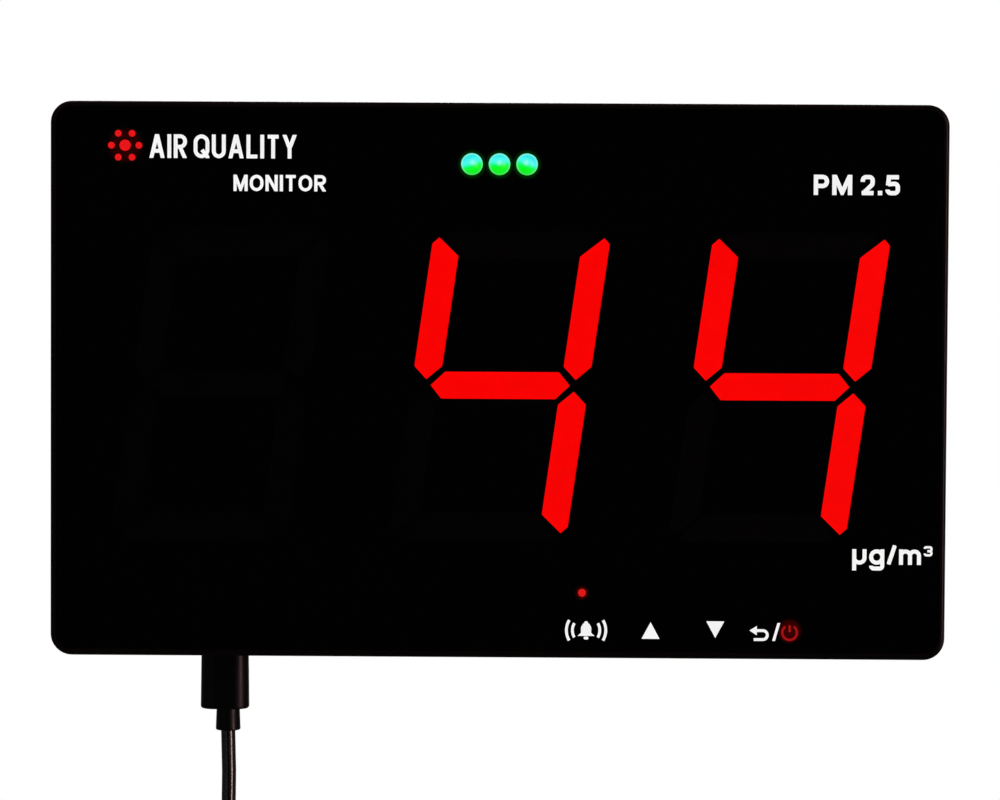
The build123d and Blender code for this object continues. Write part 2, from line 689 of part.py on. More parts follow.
with BuildPart() as red_print:
    # power sign
    with BuildSketch(face_plane(FILM_BACK + FILM_T)):
        with BuildLine():
            CenterArc((POWER_X, KEY_Z + POWER_RING_Z), POWER_R, 90 + POWER_GAP_DEG, 360 - 2 * POWER_GAP_DEG)
        trace(line_width=POWER_STROKE)
        with Locations((POWER_X, KEY_Z + POWER_BAR_Z)):
            RectangleRounded(POWER_STROKE, POWER_R, POWER_STROKE / 2.2)
    extrude(amount=PRINT_T)
    # plain badge: a ring of dust specks round a dot
    with BuildSketch(face_plane(FILM_BACK + FILM_T)):
        with Locations((BADGE_X, BADGE_Z)):
            Circle(BADGE_DOT_R)
            with PolarLocations(BADGE_R, BADGE_SPECKS):
                Circle(BADGE_SPECK_R)
    extrude(amount=PRINT_T)
save(red_print, "red_print")


# ---------------------------------------------------------------- display electronics
with BuildPart() as display_board:
    with BuildSketch(face_plane(DISPLAY_BOARD_BACK)):
        with Locations((0, (BOARD_TOP + BOARD_BOTTOM) / 2)):
            Rectangle(BOARD_W, BOARD_TOP - BOARD_BOTTOM)
        with Locations(*CORNERS):
            Rectangle(2 * (BOARD_W / 2 - CASE_SCREW_X + 1), 2 * TAB_W, mode=Mode.SUBTRACT)
        with Locations(*BOARD_TABS):
            Circle(SMALL_SCREW_R + LOOSE, mode=Mode.SUBTRACT)
    extrude(amount=BOARD_T)
save(display_board, "display_board")

screws("display_screws", BOARD_TABS, DISPLAY_BOARD_BACK, SMALL_HEAD_R, SMALL_HEAD_T, SMALL_SCREW_R,
       DISPLAY_SCREW_L, True)

with BuildPart() as display_chips:
    with BuildSketch(face_plane(DISPLAY_BOARD_FRONT)):
        for digit_x in DIGIT_XS:
            for letter in "abcdefg":
                corners = [(x + z * SLOPE, z) for x, z in upright_segment(letter)]
                mid_x = digit_x + sum(x for x, z in corners) / len(corners)
                mid_z = DIGIT_Z + sum(z for x, z in corners) / len(corners)
                step = (CHIP_STEP, 0) if letter in "adg" else (CHIP_STEP * SLOPE, CHIP_STEP)
                for way in (-1, 1):
                    with Locations((mid_x + way * step[0], mid_z + way * step[1])):
                        Rectangle(CHIP_SIZE[0], CHIP_SIZE[1])
    extrude(amount=CHIP_SIZE[2])
save(display_chips, "display_chips")

with BuildPart() as status_lamps:
    with BuildSketch(face_plane(DISPLAY_BOARD_FRONT)):
        with Locations(*LAMPS):
            Circle(LAMP_FLANGE_R)
    extrude(amount=LAMP_FLANGE_T)
    with BuildSketch(face_plane(DISPLAY_BOARD_FRONT + LAMP_FLANGE_T)):
        with Locations(*LAMPS):
            Circle(LAMP_R)
    extrude(amount=LAMP_TIP - LAMP_R - DISPLAY_BOARD_FRONT - LAMP_FLANGE_T)
    with Locations(*[(x, -(LAMP_TIP - LAMP_R), PANEL_Z + z) for x, z in LAMPS]):
        Sphere(LAMP_R)
save(status_lamps, "status_lamps")

blocks("display_drivers", DISPLAY_BOARD_BACK - DRIVER_T, DRIVER_T, DRIVER_SPOTS, DRIVER_SIZE)


# ---------------------------------------------------------------- touch keys and alarm lamp
TOUCH_BOARD_FRONT = TOUCH_BOARD_BACK + TOUCH_BOARD_T
blocks("touch_board", TOUCH_BOARD_BACK, TOUCH_BOARD_T, [TOUCH_BOARD_SPOT], TOUCH_BOARD_SIZE, BOARD_CORNER_R)
discs("touch_pads", TOUCH_BOARD_FRONT, FILM_BACK - TOUCH_BOARD_FRONT - CLEAR, KEYS, TOUCH_PAD_R)
blocks("touch_chip", TOUCH_BOARD_FRONT, 1.0, [TOUCH_CHIP_SPOT], (5.0, 4.0))
discs("alarm_lamp", TOUCH_BOARD_FRONT, FILM_BACK + TIGHT - TOUCH_BOARD_FRONT, [(ALARM_X, ALARM_Z)],
      ALARM_R - CLEAR)


# ---------------------------------------------------------------- rear housing
HOUSING_X = PANEL_W / 2 - HOUSING_INSET
HOUSING_Z = PANEL_H / 2 - HOUSING_INSET
MAIN_POSTS = [(MAIN_X + sx * MAIN_HOLE_X, MAIN_Z + sz * MAIN_HOLE_Z) for sx in (-1, 1) for sz in (-1, 1)]
KEYHOLES = [(-KEYHOLE_PITCH / 2, KEYHOLE_RISE), (KEYHOLE_PITCH / 2, KEYHOLE_RISE)]

with BuildPart() as rear_housing:
    with BuildSketch(face_plane(0)):
        RectangleRounded(2 * HOUSING_X, 2 * HOUSING_Z, HOUSING_CORNER_R)
    extrude(amount=HOUSING_FRONT)
    fillet(rear_housing.edges().group_by(Axis.Y)[-1], HOUSING_ROUND)
    with BuildSketch(face_plane(SHELL_T)):
        RectangleRounded(2 * (HOUSING_X - SHELL_T), 2 * (HOUSING_Z - SHELL_T), HOUSING_CORNER_R)
    extrude(amount=HOUSING_FRONT - SHELL_T, mode=Mode.SUBTRACT)
    # tubes for the case screws, reached from the back
    with BuildSketch(face_plane(SHELL_T)):
        with Locations(*CORNERS):
            Circle(BOSS_R + 2 * LOOSE)
    extrude(amount=TAB_BACK - GAP - SHELL_T)
    with BuildSketch(face_plane(0)):
        with Locations(*CORNERS):
            Circle(CASE_HEAD_R + 2 * GAP)
    extrude(amount=CASE_BORE_DEPTH, mode=Mode.SUBTRACT)
    with BuildSketch(face_plane(CASE_BORE_DEPTH)):
        with Locations(*CORNERS):
            Circle(SCREW_R + LOOSE)
    extrude(amount=HOUSING_FRONT - CASE_BORE_DEPTH, mode=Mode.SUBTRACT)
    # posts for the main board
    with BuildSketch(face_plane(SHELL_T)):
        with Locations(*MAIN_POSTS):
            Circle(MAIN_POST_R)
            Circle(SMALL_SCREW_R + CLEAR, mode=Mode.SUBTRACT)
    extrude(amount=MAIN_BACK - SHELL_T)
    # cups behind the keyholes
    cup_bore = KEYHOLE_CUP_W - 2 * KEYHOLE_CUP_WALL
    with BuildSketch(face_plane(SHELL_T)):
        with Locations(*[(x, z + KEYHOLE_SLOT / 2) for x, z in KEYHOLES]):
            RectangleRounded(KEYHOLE_CUP_W, KEYHOLE_CUP_W + KEYHOLE_SLOT, HOUSING_ROUND)
    extrude(amount=KEYHOLE_CUP_DEPTH - SHELL_T)
    with BuildSketch(face_plane(SHELL_T)):
        with Locations(*[(x, z + KEYHOLE_SLOT / 2) for x, z in KEYHOLES]):
            RectangleRounded(cup_bore, cup_bore + KEYHOLE_SLOT, BORE_CORNER_R)
    extrude(amount=KEYHOLE_CUP_DEPTH - SHELL_T - KEYHOLE_CUP_WALL, mode=Mode.SUBTRACT)
    with BuildSketch(face_plane(0)):
        with Locations(*KEYHOLES):
            Circle(KEYHOLE_R)
        with Locations(*[(x, z + KEYHOLE_SLOT / 2) for x, z in KEYHOLES]):
            Rectangle(2 * KEYHOLE_SLOT_R, KEYHOLE_SLOT)
        with Locations(*[(x, z + KEYHOLE_SLOT) for x, z in KEYHOLES]):
            Circle(KEYHOLE_SLOT_R)
    extrude(amount=SHELL_T, mode=Mode.SUBTRACT)
    # air slots in the back and in both side walls
    with BuildSketch(face_plane(0)):
        with Locations((0, VENT_Z)):
            with GridLocations(0, VENT_STEP, 1, VENT_ROWS):
                SlotOverall(VENT_W, VENT_H)
    extrude(amount=SHELL_T, mode=Mode.SUBTRACT)
    with BuildSketch(sideways_plane(0, SIDE_VENT_DEPTH, SENSOR_Z)):
        with GridLocations(SIDE_VENT_STEP, 0, SIDE_VENT_COUNT, 1):
            SlotOverall(SIDE_VENT_L, SIDE_VENT_W, rotation=90)
    extrude(amount=PANEL_W, both=True, mode=Mode.SUBTRACT)
    # mouth for the power plug in the bottom wall
    with BuildSketch(level_plane(-HOUSING_Z)):
        with Locations((PLUG_X, -PLUG_D)):
            RectangleRounded(SOCKET_W + SOCKET_FIT, SOCKET_T + SOCKET_FIT, SOCKET_CORNER_R)
    extrude(amount=SHELL_T, mode=Mode.SUBTRACT)
    # shallow bed for the rating label
    with BuildSketch(face_plane(0)):
        with Locations((LABEL_X, LABEL_Z)):
            RectangleRounded(LABEL_W + 4 * GAP, LABEL_H + 4 * GAP, BOARD_CORNER_R)
    extrude(amount=LABEL_BED, mode=Mode.SUBTRACT)
save(rear_housing, "rear_housing")

blocks("rating_label", LABEL_BED - LABEL_T, LABEL_T, [(LABEL_X, LABEL_Z)], (LABEL_W, LABEL_H), BOARD_CORNER_R)
screws("case_screws", CORNERS, CASE_BORE_DEPTH, CASE_HEAD_R, CASE_HEAD_T, SCREW_R, CASE_SCREW_L, True)

# Fine mesh that keeps dust and insects out of the back slots
with BuildPart() as dust_mesh:
    with BuildSketch(face_plane(SHELL_T)):
        with Locations((0, VENT_Z)):
            RectangleRounded(VENT_W + 2 * MESH_MARGIN, VENT_STEP * VENT_ROWS + MESH_MARGIN, BOARD_CORNER_R)
    extrude(amount=MESH_T)
save(dust_mesh, "dust_mesh")


# ---------------------------------------------------------------- main board
with BuildPart() as main_board:
    with BuildSketch(face_plane(MAIN_BACK)):
        with Locations((MAIN_X, MAIN_Z)):
            RectangleRounded(MAIN_W, MAIN_H, BOARD_CORNER_R)
        with Locations(*MAIN_POSTS):
            Circle(SMALL_SCREW_R + LOOSE, mode=Mode.SUBTRACT)
    extrude(amount=BOARD_T)
save(main_board, "main_board")

screws("main_board_screws", MAIN_POSTS, MAIN_FRONT, SMALL_HEAD_R, SMALL_HEAD_T, SMALL_SCREW_R,
       MAIN_SCREW_L, False)
blocks("processor", MAIN_FRONT, 1.4, on_main_board(PROCESSOR_SPOT), PROCESSOR_SIZE)
blocks("regulator_chips", MAIN_FRONT, 1.5, on_main_board(*REGULATOR_SPOTS), REGULATOR_SIZE)
blocks("power_coil", MAIN_FRONT, 4.0, on_main_board(INDUCTOR_SPOT), INDUCTOR_SIZE, 1.2)
blocks("clock_crystal", MAIN_FRONT, 2.2, on_main_board(CRYSTAL_SPOT), CRYSTAL_SIZE, 2.2)
discs("capacitors", MAIN_FRONT, 6.2, on_main_board(*CAPACITOR_SPOTS), CAPACITOR_R)

with BuildPart() as alarm_buzzer:
    with BuildSketch(face_plane(MAIN_FRONT)):
        with Locations(*on_main_board(BUZZER_SPOT)):
            Circle(BUZZER_R)
    extrude(amount=BUZZER_T)
    with BuildSketch(face_plane(MAIN_FRONT + BUZZER_FLOOR_T)):
        with Locations(*on_main_board(BUZZER_SPOT)):
            Circle(BUZZER_HOLE_R)
    extrude(amount=BUZZER_T, mode=Mode.SUBTRACT)
save(alarm_buzzer, "alarm_buzzer")

# Pin header that joins the main board to the display board
with BuildPart() as board_header:
    with BuildSketch(face_plane(MAIN_FRONT)):
        with Locations(*on_main_board(HEADER_SPOT)):
            Rectangle(*HEADER_SIZE)
    extrude(amount=DISPLAY_BOARD_BACK - MAIN_FRONT)
save(board_header, "board_header")

# Micro-USB socket on the bottom edge of the main board
SOCKET_MOUTH_Z = -HOUSING_Z + SOCKET_RISE
with BuildPart() as power_socket:
    with BuildSketch(level_plane(SOCKET_MOUTH_Z)):
        with Locations((PLUG_X, -PLUG_D)):
            RectangleRounded(SOCKET_W, SOCKET_T, SOCKET_CORNER_R)
            RectangleRounded(SOCKET_W - 2 * SOCKET_WALL, SOCKET_T - 2 * SOCKET_WALL, SOCKET_WALL,
                             mode=Mode.SUBTRACT)
    extrude(amount=SOCKET_L)
    with BuildSketch(level_plane(SOCKET_MOUTH_Z + SOCKET_L - SOCKET_WALL)):
        with Locations((PLUG_X, -PLUG_D)):
            RectangleRounded(SOCKET_W - SOCKET_WALL, SOCKET_T - SOCKET_WALL, SOCKET_WALL)
    extrude(amount=SOCKET_WALL)
    with BuildSketch(level_plane(SOCKET_MOUTH_Z + 1.0)):
        with Locations((PLUG_X, -PLUG_D)):
            Rectangle(*SOCKET_TONGUE)
    extrude(amount=SOCKET_L - 1.0)
save(power_socket, "power_socket")


# ---------------------------------------------------------------- laser particle sensor
SENSOR_FLOOR = SENSOR_BACK + SENSOR_WALL
SENSOR_FRONT = SENSOR_BACK + SENSOR_T
FAN_SPOT = (SENSOR_X + FAN_X, SENSOR_Z + FAN_Z)

blocks("sensor_pad", SHELL_T, SENSOR_BACK - SHELL_T, [(SENSOR_X, SENSOR_Z)],
       (SENSOR_W - 2 * PAD_INSET, SENSOR_H - 2 * PAD_INSET), SENSOR_CORNER_R)

with BuildPart() as sensor_case:
    with BuildSketch(face_plane(SENSOR_BACK)):
        with Locations((SENSOR_X, SENSOR_Z)):
            RectangleRounded(SENSOR_W, SENSOR_H, SENSOR_CORNER_R)
    extrude(amount=SENSOR_T - SENSOR_WALL)
    with BuildSketch(face_plane(SENSOR_FLOOR)):
        with Locations((SENSOR_X, SENSOR_Z)):
            RectangleRounded(SENSOR_W - 2 * SENSOR_WALL, SENSOR_H - 2 * SENSOR_WALL,
                             SENSOR_CORNER_R - SENSOR_WALL)
    extrude(amount=SENSOR_T, mode=Mode.SUBTRACT)
    # inlet and outlet in the wall next to the side vents
    with BuildSketch(sideways_plane(SENSOR_X + SENSOR_W / 2 - 2 * SENSOR_WALL, SIDE_VENT_DEPTH, SENSOR_Z)):
        with Locations((-PORT_X, 0), (PORT_X, 0)):
            SlotOverall(PORT_L, PORT_W)
    extrude(amount=4 * SENSOR_WALL, mode=Mode.SUBTRACT)
save(sensor_case, "sensor_case")

with BuildPart() as sensor_lid:
    with BuildSketch(face_plane(SENSOR_FRONT - SENSOR_WALL)):
        with Locations((SENSOR_X, SENSOR_Z)):
            RectangleRounded(SENSOR_W, SENSOR_H, SENSOR_CORNER_R)
    extrude(amount=SENSOR_WALL - GAP)
    with BuildSketch(face_plane(SENSOR_FRONT - SENSOR_WALL)):
        with Locations(FAN_SPOT):
            with PolarLocations(LID_HOLE_RING_R, LID_HOLES):
                Circle(LID_HOLE_R)
    extrude(amount=SENSOR_WALL, mode=Mode.SUBTRACT)
save(sensor_lid, "sensor_lid")

with BuildPart() as fan_frame:
    with BuildSketch(face_plane(SENSOR_FLOOR)):
        with Locations(FAN_SPOT):
            Circle(FAN_RING_R)
    extrude(amount=FAN_BACK - SENSOR_FLOOR)
    with BuildSketch(face_plane(FAN_BACK)):
        with Locations(FAN_SPOT):
            Circle(FAN_RING_R)
            Circle(FAN_BORE_R, mode=Mode.SUBTRACT)
    extrude(amount=FAN_T + 1.0)
    with BuildSketch(face_plane(SENSOR_FLOOR)):
        with Locations(FAN_SPOT):
            Circle(BUSH_R)
    extrude(amount=FAN_BACK - SENSOR_FLOOR, mode=Mode.SUBTRACT)
save(fan_frame, "fan_frame")

with BuildPart() as fan_bush:
    with BuildSketch(face_plane(SENSOR_FLOOR)):
        with Locations(FAN_SPOT):
            Circle(BUSH_R)
            Circle(SHAFT_R + CLEAR, mode=Mode.SUBTRACT)
    extrude(amount=FAN_BACK - SENSOR_FLOOR)
save(fan_bush, "fan_bush")

with BuildPart() as fan_rotor:
    with BuildSketch(face_plane(FAN_BACK + FAN_RUNNING_GAP)):
        with Locations(FAN_SPOT):
            Circle(FAN_HUB_R)
    extrude(amount=FAN_T - FAN_RUNNING_GAP)
    with BuildSketch(face_plane(FAN_BACK + 2 * FAN_RUNNING_GAP)):
        with Locations(FAN_SPOT):
            with PolarLocations((FAN_R + FAN_HUB_R - FAN_RUNNING_GAP) / 2, FAN_BLADES):
                Rectangle(FAN_R - FAN_HUB_R + FAN_RUNNING_GAP, FAN_BLADE_T, rotation=FAN_BLADE_DEG)
    extrude(amount=FAN_T - 3 * FAN_RUNNING_GAP)
    with BuildSketch(face_plane(SENSOR_FLOOR + GAP)):
        with Locations(FAN_SPOT):
            Circle(SHAFT_R)
    extrude(amount=FAN_BACK + 2 * FAN_RUNNING_GAP - SENSOR_FLOOR - GAP)
save(fan_rotor, "fan_rotor")

blocks("sensor_board", SENSOR_FRONT - OPTIC_BOARD_DROP, OPTIC_BOARD_T, [(SENSOR_X + OPTIC_X, SENSOR_Z)],
       OPTIC_SIZE)
blocks("photodiode", SENSOR_FRONT - OPTIC_BOARD_DROP - PHOTODIODE_T, PHOTODIODE_T,
       [(SENSOR_X + OPTIC_X, SENSOR_Z + PHOTODIODE_Z)], PHOTODIODE_SIZE)

with BuildPart() as laser_diode:
    with BuildSketch(sideways_plane(SENSOR_X + LASER_X, SENSOR_FLOOR + LASER_DEPTH, SENSOR_Z + LASER_Z)):
        Circle(LASER_R)
    extrude(amount=LASER_L)
    with BuildSketch(sideways_plane(SENSOR_X + LASER_X - LASER_NOSE_L, SENSOR_FLOOR + LASER_DEPTH,
                                    SENSOR_Z + LASER_Z)):
        Circle(LASER_NOSE_R)
    extrude(amount=LASER_NOSE_L)
save(laser_diode, "laser_diode")

# Foam between the sensor and the side wall, with a way through for the air
with BuildPart() as inlet_foam:
    with BuildSketch(sideways_plane(SENSOR_X + SENSOR_W / 2, SIDE_VENT_DEPTH, SENSOR_Z)):
        RectangleRounded(SENSOR_H - PAD_INSET, FOAM_W, BOARD_CORNER_R)
        with Locations((-PORT_X, 0), (PORT_X, 0)):
            SlotOverall(PORT_L + 1.0, PORT_W + 1.0, mode=Mode.SUBTRACT)
    extrude(amount=HOUSING_X - SHELL_T - SENSOR_X - SENSOR_W / 2)
save(inlet_foam, "inlet_foam")

HARNESS_Z = SENSOR_Z + HARNESS_RISE
PLUG_BACK = SENSOR_FLOOR + 1.5
SENSOR_LEFT_X = SENSOR_X - SENSOR_W / 2
MAIN_RIGHT_X = MAIN_X + MAIN_W / 2
blocks("sensor_plug", PLUG_BACK, CONNECTOR_T, [(SENSOR_LEFT_X - 2.4, HARNESS_Z)], (4.4, CONNECTOR_H))
blocks("board_plug", MAIN_FRONT, CONNECTOR_T, [(MAIN_RIGHT_X - 3.0, HARNESS_Z)], (5.0, CONNECTOR_H))

# Ribbon from the sensor's plug, down to the floor of the housing and up to the main board
HARNESS_ROUTE = [(SENSOR_LEFT_X - 4.6, -7.4), (SENSOR_LEFT_X - 13.6, -7.4), (SENSOR_LEFT_X - 20.6, -3.4),
                 (MAIN_RIGHT_X + 19.5, -3.4), (MAIN_RIGHT_X + 8.5, -9.6), (MAIN_RIGHT_X - 0.5, -9.6)]
with BuildPart() as sensor_harness:
    with BuildSketch(level_plane(HARNESS_Z)):
        with BuildLine():
            FilletPolyline(*HARNESS_ROUTE, radius=HARNESS_BEND_R)
        trace(line_width=HARNESS_T)
    extrude(amount=HARNESS_W / 2, both=True)
save(sensor_harness, "sensor_harness")


# ---------------------------------------------------------------- power lead
PLUG_TOP_Z = -HOUSING_Z - PLUG_TOP_GAP
COLLAR_TOP_Z = PLUG_TOP_Z - PLUG_BODY_L
CORD_TOP_Z = COLLAR_TOP_Z - COLLAR_L
COIL_X = PLUG_X + 5.5
COIL_Z = CORD_TOP_Z - 96.4
COIL_OUTER_R = COIL_MEAN_R + COIL_PITCH * (COIL_LAYERS - 1) / 2
COIL_D = PLUG_D - COIL_PITCH / 2
COIL_LEFT_X = COIL_X - COIL_OUTER_R

with BuildPart() as plug_body:
    with BuildSketch(level_plane(PLUG_TOP_Z)):
        with Locations((PLUG_X + PLUG_BODY_SHIFT, -PLUG_D)):
            RectangleRounded(PLUG_BODY_W - PLUG_TAPER, PLUG_BODY_T - PLUG_TAPER, PLUG_SIDE_R - PLUG_TAPER / 2)
    with BuildSketch(level_plane(COLLAR_TOP_Z)):
        with Locations((PLUG_X + PLUG_BODY_SHIFT, -PLUG_D)):
            RectangleRounded(PLUG_BODY_W, PLUG_BODY_T, PLUG_SIDE_R)
    loft()
    fillet(plug_body.edges().group_by(Axis.Z)[0], PLUG_END_ROUND)
    fillet(plug_body.edges().group_by(Axis.Z)[-1], PLUG_END_ROUND)
save(plug_body, "plug_body")

with BuildPart() as plug_shell:
    with BuildSketch(level_plane(PLUG_TOP_Z)):
        with Locations((PLUG_X, -PLUG_D)):
            RectangleRounded(SHELL_W, SHELL_H, SHELL_CORNER_R)
    extrude(amount=SHELL_L)
    with BuildSketch(level_plane(PLUG_TOP_Z + SHELL_FLOOR_T)):
        with Locations((PLUG_X, -PLUG_D)):
            RectangleRounded(SHELL_W - SHELL_BORE, SHELL_H - SHELL_BORE, SHELL_CORNER_R / 2)
    extrude(amount=SHELL_L, mode=Mode.SUBTRACT)
save(plug_shell, "plug_shell")

with BuildPart() as plug_collar:
    with BuildSketch(level_plane(COLLAR_TOP_Z)):
        with Locations((PLUG_X, -PLUG_D)):
            Circle(COLLAR_TOP_R)
    with BuildSketch(level_plane(CORD_TOP_Z)):
        with Locations((PLUG_X, -PLUG_D)):
            Circle(COLLAR_END_R)
    loft()
    fillet(plug_collar.edges().group_by(Axis.Z)[0], COLLAR_ROUND)
save(plug_collar, "plug_collar")


def cord_tube(label, route, side_depth):
    """Cord along a route of (x, z) points, as straight runs joined by the widest arcs that fit."""
    points = [Vector(x, -side_depth, PANEL_Z + z) for x, z in route]
    radii = []
    for before, corner, after in zip(points, points[1:], points[2:]):
        turn = (corner - before).get_angle(after - corner)
        short_run = min((corner - before).length, (after - corner).length)
        radii.append(BEND_SHARE * short_run / math.tan(math.radians(turn) / 2))
    with BuildPart() as piece:
        with BuildLine() as path:
            FilletPolyline(*points, radius=radii)
        with BuildSketch(Plane(origin=points[0], z_dir=(points[1] - points[0]).normalized())):
            Circle(CORD_D / 2)
        sweep(path=path.line)
    save(piece, label)


UPPER_ROUTE = [(PLUG_X, CORD_TOP_Z), (PLUG_X + 1.2, CORD_TOP_Z - 31.4), (PLUG_X - 8.2, CORD_TOP_Z - 61.9),
               (COIL_LEFT_X, CORD_TOP_Z - 79.9), (COIL_LEFT_X, COIL_Z)]
TAIL_ROUTE = [(COIL_LEFT_X, COIL_Z), (COIL_LEFT_X, COIL_Z - 10.0), (COIL_LEFT_X + 1.9, COIL_Z - 21.0),
              (COIL_LEFT_X + 1.9, COIL_Z - 31.0)]
TAIL_X, TAIL_Z = TAIL_ROUTE[-1]
TAIL_D = COIL_D - COIL_PITCH / 2

cord_tube("power_cord", UPPER_ROUTE, PLUG_D)
cord_tube("cord_tail", TAIL_ROUTE, TAIL_D)

COIL_THICK = COIL_TURNS / COIL_LAYERS * COIL_PITCH
COIL_BAND = COIL_LAYERS * COIL_PITCH
with BuildPart() as cord_coil:
    with BuildSketch(Plane(origin=(COIL_X, -COIL_D, PANEL_Z + COIL_Z), x_dir=(-1, 0, 0), z_dir=(0, 0, 1))):
        with Locations((COIL_MEAN_R, 0)):
            RectangleRounded(COIL_BAND, COIL_THICK, CORD_D / 2)
    revolve(axis=Axis((COIL_X, 0, PANEL_Z + COIL_Z), (0, 1, 0)), revolution_arc=360)
save(cord_coil, "cord_coil")

TIE_HALF = math.radians(TIE_DEG / 2)
with BuildPart() as cord_tie:
    with BuildSketch(Plane(origin=(COIL_X, -COIL_D, PANEL_Z + COIL_Z),
                           x_dir=(-math.cos(TIE_HALF), 0, math.sin(TIE_HALF)),
                           z_dir=(math.sin(TIE_HALF), 0, math.cos(TIE_HALF)))):
        with Locations((COIL_MEAN_R + LOOSE, 0)):
            RectangleRounded(COIL_BAND + TIE_SLACK + 2 * TIE_T, COIL_THICK + 2 * LOOSE + 2 * TIE_T,
                             TIE_CORNER_R)
            RectangleRounded(COIL_BAND + TIE_SLACK, COIL_THICK + 2 * LOOSE, TIE_CORNER_R - TIE_T,
                             mode=Mode.SUBTRACT)
    revolve(axis=Axis((COIL_X, 0, PANEL_Z + COIL_Z), (0, -1, 0)), revolution_arc=TIE_DEG)
save(cord_tie, "cord_tie")

# USB-A plug on the far end, hanging straight down
USB_BODY_Z = TAIL_Z - USB_COLLAR_L
USB_SHELL_Z = USB_BODY_Z - USB_BODY_L
USB_END_Z = USB_SHELL_Z - USB_SHELL_L
with BuildPart() as usb_collar:
    with BuildSketch(level_plane(TAIL_Z)):
        with Locations((TAIL_X, -TAIL_D)):
            Circle(USB_COLLAR_TOP_R)
    with BuildSketch(level_plane(USB_BODY_Z)):
        with Locations((TAIL_X, -TAIL_D)):
            Circle(USB_COLLAR_R)
    loft()
save(usb_collar, "usb_collar")

with BuildPart() as usb_body:
    with BuildSketch(level_plane(USB_SHELL_Z)):
        with Locations((TAIL_X, -TAIL_D)):
            RectangleRounded(USB_BODY_W, USB_BODY_T, USB_BODY_CORNER_R)
    extrude(amount=USB_BODY_L)
    fillet(usb_body.edges().group_by(Axis.Z)[0], USB_MOUTH_ROUND)
    fillet(usb_body.edges().group_by(Axis.Z)[-1], USB_SHOULDER_ROUND)
save(usb_body, "usb_body")

with BuildPart() as usb_shell:
    with BuildSketch(level_plane(USB_END_Z)):
        with Locations((TAIL_X, -TAIL_D)):
            RectangleRounded(USB_SHELL_W, USB_SHELL_T, USB_SHELL_CORNER_R)
            RectangleRounded(USB_SHELL_W - 2 * USB_SHELL_WALL, USB_SHELL_T - 2 * USB_SHELL_WALL,
                             USB_SHELL_CORNER_R / 2, mode=Mode.SUBTRACT)
    extrude(amount=USB_SHELL_L)
    # contact windows in the broad faces
    with BuildSketch(Plane(origin=(TAIL_X, -TAIL_D, PANEL_Z + USB_SHELL_Z - USB_WINDOW_Z),
                           x_dir=(1, 0, 0), z_dir=(0, -1, 0))):
        with Locations((-USB_WINDOW_X, 0), (USB_WINDOW_X, 0)):
            Rectangle(*USB_WINDOW)
    extrude(amount=USB_SHELL_T, both=True, mode=Mode.SUBTRACT)
save(usb_shell, "usb_shell")

with BuildPart() as usb_tongue:
    with BuildSketch(level_plane(USB_END_Z + USB_TONGUE_SET)):
        with Locations((TAIL_X, -TAIL_D + USB_TONGUE_SHIFT)):
            Rectangle(USB_SHELL_W - 2 * USB_SHELL_WALL - LOOSE, USB_TONGUE_T)
    extrude(amount=USB_SHELL_L - USB_TONGUE_SET)
save(usb_tongue, "usb_tongue")
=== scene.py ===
import json
import math

import bpy
import bmesh
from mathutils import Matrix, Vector


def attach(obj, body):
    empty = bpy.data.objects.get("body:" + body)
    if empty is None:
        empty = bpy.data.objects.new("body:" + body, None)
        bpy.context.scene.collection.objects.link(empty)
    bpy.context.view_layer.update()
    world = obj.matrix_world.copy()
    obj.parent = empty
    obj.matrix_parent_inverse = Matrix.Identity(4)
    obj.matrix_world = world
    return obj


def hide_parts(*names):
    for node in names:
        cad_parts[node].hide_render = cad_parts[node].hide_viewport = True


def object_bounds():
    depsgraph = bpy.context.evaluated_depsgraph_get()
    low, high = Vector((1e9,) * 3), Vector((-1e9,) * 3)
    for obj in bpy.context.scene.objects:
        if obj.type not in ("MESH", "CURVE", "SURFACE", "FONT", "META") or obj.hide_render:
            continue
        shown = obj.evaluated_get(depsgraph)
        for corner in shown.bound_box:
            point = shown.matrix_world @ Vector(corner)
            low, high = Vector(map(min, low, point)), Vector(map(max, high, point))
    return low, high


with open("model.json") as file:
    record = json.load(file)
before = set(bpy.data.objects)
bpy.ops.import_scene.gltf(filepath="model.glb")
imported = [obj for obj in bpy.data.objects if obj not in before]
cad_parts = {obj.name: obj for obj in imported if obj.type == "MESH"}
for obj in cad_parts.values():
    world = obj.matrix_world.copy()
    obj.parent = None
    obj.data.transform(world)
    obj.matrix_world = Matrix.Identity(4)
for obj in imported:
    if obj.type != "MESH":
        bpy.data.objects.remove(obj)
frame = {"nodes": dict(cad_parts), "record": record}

CAD_BOX = [list(corner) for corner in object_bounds()]

# Metres. +X right, +Z up, the face looks along -Y, the wall is the plane y = 0.
MM = 0.001
PANEL_Z = -32 * MM                      # middle of the panel

# Lamps and red signs of the face, as places on the panel
LAMP_Z = PANEL_Z + 50.3 * MM
LAMP_PITCH = 6.4 * MM
LAMP_R = 2.4 * MM
BADGE_AT = (-87.1 * MM, PANEL_Z + 54.3 * MM)
POWER_AT = (68.3 * MM, PANEL_Z - 58.1 * MM)
ALARM_AT = (19.8 * MM, PANEL_Z - 49.45 * MM)

# Dust mesh behind the back's air slots
MESH_SIZE = (49.6 * MM, 39.0 * MM)
MESH_Z = PANEL_Z + 15.0 * MM
THREAD_PITCH = 0.8 * MM
THREAD_D = 0.17 * MM
UPRIGHT_Y = -2.1 * MM
LEVEL_Y = UPRIGHT_Y - THREAD_D

